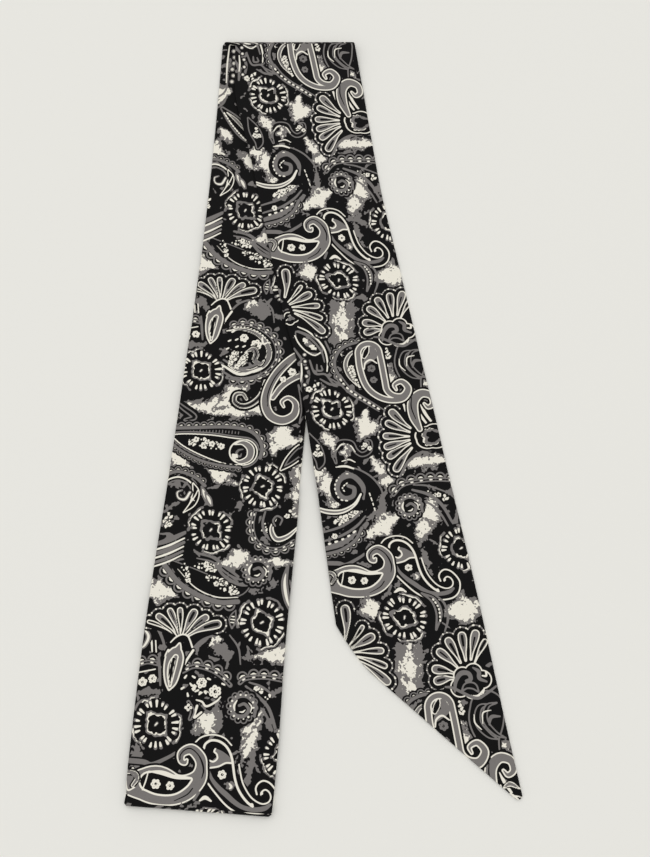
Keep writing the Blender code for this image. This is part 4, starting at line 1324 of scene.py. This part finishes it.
def pointed_high(cloth):
    """From the twins up to the sideways fan."""
    for gap in (
        (-5.2, 145.4, 6.6, 4.8, 25, 41), (-2, 176, 2.8, 8, 24, 42), (1.6, 168, 2.2, 3.8, 0, 54),
        (-30.4, 171, 3.4, 9.5, 14, 43), (-34, 178, 3.2, 3, 0, 55), (17.6, 146, 2.6, 7.4, -26, 44),
        (14, 139.5, 3.4, 4.2, -20, 56), (24, 175.6, 9.5, 2.7, 0, 45),
    ):
        patch(cloth, *gap)
    shade(cloth, -3.5, 156, 1.5, 6, -6, 46)
    shade(cloth, 12.6, 124, 1.5, 7, 8, 47)
    for scatter in (
        (-21.4, 153, 9.5, 2.5, 16, 48, 2.1), (-12.8, 159.5, 1.6, 2.6, -15, 57, 2),
        (25.5, 156, 7, 1.8, -30, 49, 2.2),
    ):
        crumbs(cloth, *scatter)
    for rise, ink, r in ((0, GREY, 0.7), (-4.6, GREY, 0.7), (-8.6, GREY, 1.7)):
        hair(cloth, (-38, 146 + rise), (-27, 148.0 + rise), (-19, 151.6 + rise), (-13.6, 156.0 + rise),
             ink=ink, r=r)
    dashes(cloth, ((-36, 139.5, 1), (-26, 141.6, 1), (-18, 145.6, 1)), 3.6, 0.8, 0.6)
    flower(cloth, -31, 143.4, 1.6)
    lace(cloth, (-38, 134.6), (-29, 135.8), (-21, 139.6), (-16.4, 145.6), r=1.9, side=-1)
    here = Place(cloth, -19.5, 166.8)
    here.lay(here.brush((-0.6, 1, 9.2), (4.6, -1, 11)), BLACK)
    here.lay(here.brush((6.6, -6, 0.6), (7.4, 1, 1.3), (3, 7.4, 1.4), (-3.4, 6.6, 1.4), (-6, 1, 1.3),
                        (-3.4, -3.8, 1.3), (1.4, -3.6, 1.2), (2.8, 0.4, 1.1), (0, 2.4, 0.9)), GREY)
    dashes(cloth, ((-15.4, 175.4, 1), (-22, 175.6, 1), (-26.4, 170, 1), (-25.2, 163, 1), (-20, 160.8, 1)),
           2.4, 0.7, 0.45)
    dashes(cloth, ((-19.4, 171, 1), (-22.6, 168.6, 1), (-21.4, 165.6, 1)), 1.7, 0.6, 0.4)
    dashes(cloth, ((-23.4, 174.6, 1), (-19, 176.6, 1), (-14, 173.6, 1)), 1.8, 0.9, 0.5, GREY)
    hair(cloth, (-18, 180), (-11, 176), (-6, 171), (-2.8, 164), (-3.4, 157), r=0.5)
    dashes(cloth, ((-9.4, 164, 1), (-8.6, 158, 1), (-8, 152, 1)), 2.8, 1.4, 0.36)
    hair(cloth, (-24, 180.4), (-19, 180), (-15, 178), ink=CREAM, r=0.6)
    curl(cloth, (-40, 160.5, 0.9), (-33, 157, 1.3), (-25, 156, 1.2), (-18, 158.6, 0.9),
         (-13.8, 163.6, 0.5), bands=((BLACK, -0.9), CREAM, (GREY, 0.8)))
    lace(cloth, (2.6, 160.4), (8, 164.6), (16, 165.6), (26, 165), (37, 162.6), r=2.7)
    hair(cloth, (13, 161.4), (21, 157.4), (26.6, 150.6), (29.8, 141), r=0.9)
    hair(cloth, (15.6, 155.4), (21, 152), (25, 146), (27.5, 139), r=0.6)
    hair(cloth, (14, 164), (22, 162), (33, 155.6), r=0.5)
    snail(cloth, 9.8, 152.8, 7)
    rosette(cloth, 31.5, 126.5, 11.4, 0, 8)
    twins(cloth, -8.6, 106.4, turn=-8.5, size=0.93)
    hair(cloth, (-7.4, 113.4), (-9.2, 110.4), r=1)
    hair(cloth, (-6.6, 109.4, 0.4), (-3.4, 110.8, 0.9), (-0.6, 109, 0.4), ink=CREAM)
    for x, ink in ((17.6, CREAM), (20.6, GREY), (23.6, CREAM), (26.6, CREAM)):
        hair(cloth, (x, 210), (x + 1.2, 203), (x + 4, 196.5), ink=ink, r=0.8)
    fan(cloth, 25.5, 189.6, EYE_FAN, turn=86, start=0.38)
    hair(cloth, (8, 169.6), (14.6, 177.6), (24, 181.4), (36, 180.4), r=0.8)
    hub(cloth, 29.6, 188.8, 9.5, 6.6, 0, 3)
    bracket = ((-23.6, 182.6, 0.8), (-23.8, 188.6, 1.5), (-19.8, 193.2, 1.8), (-14, 192.4, 1.6),
               (-12.2, 187.8, 1.5), (-9.2, 185, 1.5), (-5, 186.6, 1.5), (-3.8, 191.4, 1.1),
               (-6.2, 192.4, 0.7))
    curl(cloth, *bracket, bands=((BLACK, -1.3), GREY, (BLACK, 0.7)))
    hair(cloth, (-22.2, 189.6), (-18.8, 192.4), (-14.6, 191), (-12.6, 187), ink=CREAM, r=0.4)
    hair(cloth, (-13.6, 181.4), (-16.6, 183.4), (-20.4, 183), ink=CREAM, r=0.4)
    patch(cloth, -17.6, 188.2, 2.6, 2, 0, 53)
    crumbs(cloth, -6.6, 188.6, 2.4, 1.6, 0, 59, pitch=2)
    here = Place(cloth)
    leaf = here.brush((-35, 200, 0.8), (-33, 192, 3.4), (-31.6, 185, 2.8), (-33, 181, 1.2))
    here.lay(leaf, (BLACK, -0.8), GREY, (BLACK, 0.7))
    crumbs(cloth, -32.4, 189, 1.6, 5, 0, 60, pitch=2)


def pointed_chart(cloth):
    """The whole tail, a repeat before its foot and one past the fold included."""
    undergrowth(cloth, 5)
    for repeat in (-1, 0, 1, 2):
        stretch = cloth.moved(repeat * POINTED_REPEAT)
        pointed_high(stretch)
        pointed_low(stretch)
    # Two small leaves lie in the very tip.
    curl(cloth, (26.6, 8, 0.4), (30.4, 9.4, 1.2), (34.4, 6.6, 0.5),
         bands=((BLACK, -0.5), CREAM, (GREY, 0.5)))
    hair(cloth, (25.4, 3.6), (29.6, 4.8), (33.4, 1), ink=CREAM, r=0.5)


# %% printing the plies
def give_ink(piece, fields):
    for name, values in zip((GREY, CREAM), fields):
        ink = piece.data.attributes.new(name, "FLOAT", "POINT")
        ink.data.foreach_set("value", values.astype(np.float32))


# The underside of the tube carries the same print, found elsewhere on the
# cloth: seen from below it runs the other way across.
UNDERSIDE_SHIFT = 96.0  # mm along
# Near the top fold the cloth was pulled a little, so its print is longer
# there and leans to one side.
PULLED_FROM = 300.0  # mm along
PULL = 0.10  # share by which the print is longer
PULL_LEAN = 0.03  # mm aside for each mm along

for name, (piece, measures) in pieces.items():
    chart = pointed_chart if name.startswith("pointed") else square_chart
    across, along = 1000 * measures[:, 0], 1000 * measures[:, 1]
    pulled = np.maximum(along - PULLED_FROM, 0.0)
    across, along = across + PULL_LEAN * pulled, along - PULL * pulled
    if name.endswith("lower_ply"):
        across, along = -across, along + UNDERSIDE_SHIFT
    cloth = Cloth(across, along)
    chart(cloth)
    give_ink(piece, cloth.fields())
    print(name, "printed")
pieces = {name: piece for name, (piece, _) in pieces.items()}

# %% [markdown]
# # The printed twill
# The cloth is a light, closely woven twill with a soft sheen. Its print has
# three tones: black, a warm grey and cream. Every point of a ply knows how
# far it is from the grey and from the cream ink, in mm, so the edge of a
# shape is crisp wherever it falls between two points. The ink wets the weave
# unevenly, so the tones drift a little, and the twill's fine ribs run
# slantwise and show mostly as sheen.

# %% shader maths
class Wire:
    """An output socket that takes part in Python maths."""

    def __init__(self, tree, socket):
        self.tree, self.socket = tree, socket

    def maths(self, operation, *others):
        return node(self.tree, "ShaderNodeMath", {"operation": operation}, *others)

    def __add__(self, other):
        return self.maths("ADD", self, other)

    def __sub__(self, other):
        return self.maths("SUBTRACT", self, other)

    def __rsub__(self, other):
        return self.maths("SUBTRACT", other, self)

    def __mul__(self, other):
        return self.maths("MULTIPLY", self, other)

    __radd__, __rmul__ = __add__, __mul__

    def clamped(self):
        return self.maths("MINIMUM", self.maths("MAXIMUM", self, 0.0), 1.0)


def node(tree, kind, settings, *values, out=0, **named):
    """Add a node: its settings first, then the values or wires of its inputs."""
    made = tree.nodes.new(kind)
    for key, value in settings.items():
        setattr(made, key, value)
    for key, value in [*enumerate(values), *named.items()]:
        feed(tree, made.inputs[key], value)
    return Wire(tree, made.outputs[out])


def feed(tree, socket, value):
    """Give an input socket a wire or a plain value."""
    if isinstance(value, Wire):
        tree.links.new(value.socket, socket)
    else:
        socket.default_value = value


def blended(tree, share, first, second):
    """Colour first where share is 0, second where it is 1."""
    made = tree.nodes.new("ShaderNodeMix")
    made.data_type = "RGBA"
    inputs = [socket for socket in made.inputs if socket.enabled]
    for socket, value in zip(inputs, (share, first, second)):
        feed(tree, socket, value)
    return Wire(tree, next(socket for socket in made.outputs if socket.enabled))


# %% the twill
BLACK_INK = (0.0040, 0.0038, 0.0038, 1.0)
GREY_INK = (0.192, 0.179, 0.170, 1.0)
CREAM_CLOTH = (0.90, 0.86, 0.75, 1.0)
# How far each tone drifts: its factors where the cloth is darkest and lightest.
BLACK_DRIFT = (1.0, 1.6)
GREY_DRIFT = (0.80, 1.22)
CREAM_DRIFT = (0.93, 1.0)
DRIFT_SCALE, DRIFT = 90.0, 0.35  # broad drift of the tones, patches to a metre, and its share
GRAIN_SCALE, GRAIN = 1400.0, 0.5  # the same for the yarns' fine grain
INK_STEP = 0.07  # mm over which one tone gives way to the next
RIB = 0.00042  # spacing of the twill's ribs
RIB_DEPTH = 0.00004


def drifting(tree, level, ink, factors):
    """An ink between its darkest and lightest tone. level: 0 to 1."""
    dark, light = (tuple(factor * c for c in ink[:3]) + (1.0,) for factor in factors)
    return blended(tree, level.clamped(), dark, light)


def printed_twill():
    material = bpy.data.materials.new("printed_cloth")
    material.use_nodes = True
    tree = material.node_tree
    shader = tree.nodes["Principled BSDF"]
    measures = node(tree, "ShaderNodeUVMap", {"uv_map": "cloth"})

    def inked(ink):
        """1 where the ink is laid, 0 beside it."""
        away = node(tree, "ShaderNodeAttribute", {"attribute_name": ink}, out="Fac")
        return (0.5 - away * (1 / INK_STEP)).clamped()

    noise_kind = "ShaderNodeTexNoise"
    drift = node(tree, noise_kind, {}, Vector=measures, Scale=DRIFT_SCALE, Detail=3.0, out="Fac")
    grain = node(tree, noise_kind, {}, Vector=measures, Scale=GRAIN_SCALE, Detail=2.0, out="Fac")
    tone = (drift - 0.5) * DRIFT + (grain - 0.5) * GRAIN
    blacks = drifting(tree, tone + 0.4, BLACK_INK, BLACK_DRIFT)
    greys = drifting(tree, tone + 0.5, GREY_INK, GREY_DRIFT)
    creams = drifting(tree, tone + 0.5, CREAM_CLOTH, CREAM_DRIFT)
    colour = blended(tree, inked(CREAM), blended(tree, inked(GREY), blacks, greys), creams)

    slantwise = {"wave_type": "BANDS", "bands_direction": "DIAGONAL"}
    rib_scale = 2 * math.pi / (RIB * 10 * math.sqrt(2))
    ribs = node(tree, "ShaderNodeTexWave", slantwise, Vector=measures, Scale=rib_scale,
                Distortion=0.6, Detail=1.0, out="Fac")
    rough = 0.50 + 0.10 * ribs + 0.12 * (drift - 0.5)
    bump = node(tree, "ShaderNodeBump", {}, Strength=0.25, Distance=RIB_DEPTH,
                Height=ribs + 0.6 * grain, out="Normal")
    for name, wire in (("Base Color", colour), ("Roughness", rough), ("Normal", bump)):
        tree.links.new(wire.socket, shader.inputs[name])
    for name, value in (("Specular IOR Level", 0.06), ("Sheen Weight", 0.015), ("Sheen Roughness", 0.5)):
        shader.inputs[name].default_value = value
    return material


twill = printed_twill()
for piece in pieces.values():
    piece.data.materials.append(twill)
print("twill on", len(pieces), "plies")

# %% [markdown]
# # What each piece is
# Each ply is attached to the root, and the solid parts it stands in for are
# hidden. The table also keeps the size each ply was cut to and what it rests
# on. A ply of the pointed tail and of the turned under run has one slanted
# end, so its cut is less than its rectangle.

# %% attaching the plies
Cut = namedtuple("Cut", "piece length area replaces rests_on")
CUTS = (
    Cut("pointed_tail_free_stretch", length=0.2170, area=0.01205,
        replaces=("pointed_tail",), rests_on=("square_tail",)),
    Cut("pointed_tail_crossing", length=0.2460, area=None,
        replaces=("top_fold",), rests_on=("square_tail",)),
    Cut("pointed_tail_lower_ply", length=0.4640, area=0.0293,
        replaces=(), rests_on=("square_tail",)),
    Cut("square_tail_free_stretch", length=0.2090, area=None,
        replaces=("bottom_fold",), rests_on=("turned_under_run",)),
    Cut("square_tail_crossed", length=0.2400, area=None,
        replaces=("square_tail",), rests_on=("turned_under_run",)),
    Cut("square_tail_lower_ply", length=0.4500, area=None,
        replaces=(), rests_on=("turned_under_run",)),
    Cut("turned_under_upper_ply", length=0.3900, area=0.0239,
        replaces=("turned_under_run",), rests_on=()),
    Cut("turned_under_lower_ply", length=0.3900, area=0.0239, replaces=(), rests_on=()),
)
for cut in CUTS:
    piece = pieces[cut.piece]
    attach(piece, "root")
    if cut.replaces:
        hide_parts(*cut.replaces)

# %% [markdown]
# # The table and the light
# A plain pale table and even, soft light from all round, with one large soft
# lamp overhead that gives the plies their faint edge shadows.

# %% table and light
TABLE_SIZE = 3.0
TABLE_TOP = -0.0002  # a hair below the cloth
TABLE_COLOUR = (0.86, 0.85, 0.80)
DAYLIGHT = 0.855  # strength of the even light from all round
LAMP_PLACE = (-0.3, 0.35, 1.9)
LAMP_SIZE = 1.6
LAMP_POWER = 3.4  # W

half = TABLE_SIZE / 2
corner_signs = ((-1, -1), (1, -1), (1, 1), (-1, 1))
mesh = bpy.data.meshes.new("table")
mesh.from_pydata([(x * half, y * half, TABLE_TOP) for x, y in corner_signs], [], [(0, 1, 2, 3)])
table = bpy.data.objects.new("table", mesh)
bpy.context.scene.collection.objects.link(table)
table_paint = bpy.data.materials.new("table")
table_paint.use_nodes = True
shader = table_paint.node_tree.nodes["Principled BSDF"]
shader.inputs["Base Color"].default_value = (*TABLE_COLOUR, 1)
shader.inputs["Roughness"].default_value = 0.9
shader.inputs["Specular IOR Level"].default_value = 0.1
mesh.materials.append(table_paint)

# The print's tones are matched to the picture, so they are shown as they are.
bpy.context.scene.view_settings.view_transform = "Standard"

world = bpy.data.worlds.new("soft light")
world.use_nodes = True
background = world.node_tree.nodes["Background"]
background.inputs["Color"].default_value = (1.0, 1.0, 1.0, 1)
background.inputs["Strength"].default_value = DAYLIGHT
bpy.context.scene.world = world

light = bpy.data.lights.new("overhead", "AREA")
light.shape = "SQUARE"
light.size = LAMP_SIZE
light.energy = LAMP_POWER
lamp = bpy.data.objects.new("overhead", light)
lamp.location = LAMP_PLACE
lamp.rotation_euler = (-Vector(LAMP_PLACE)).to_track_quat("-Z", "Y").to_euler()
bpy.context.scene.collection.objects.link(lamp)
print("table, daylight and one lamp at", LAMP_PLACE)
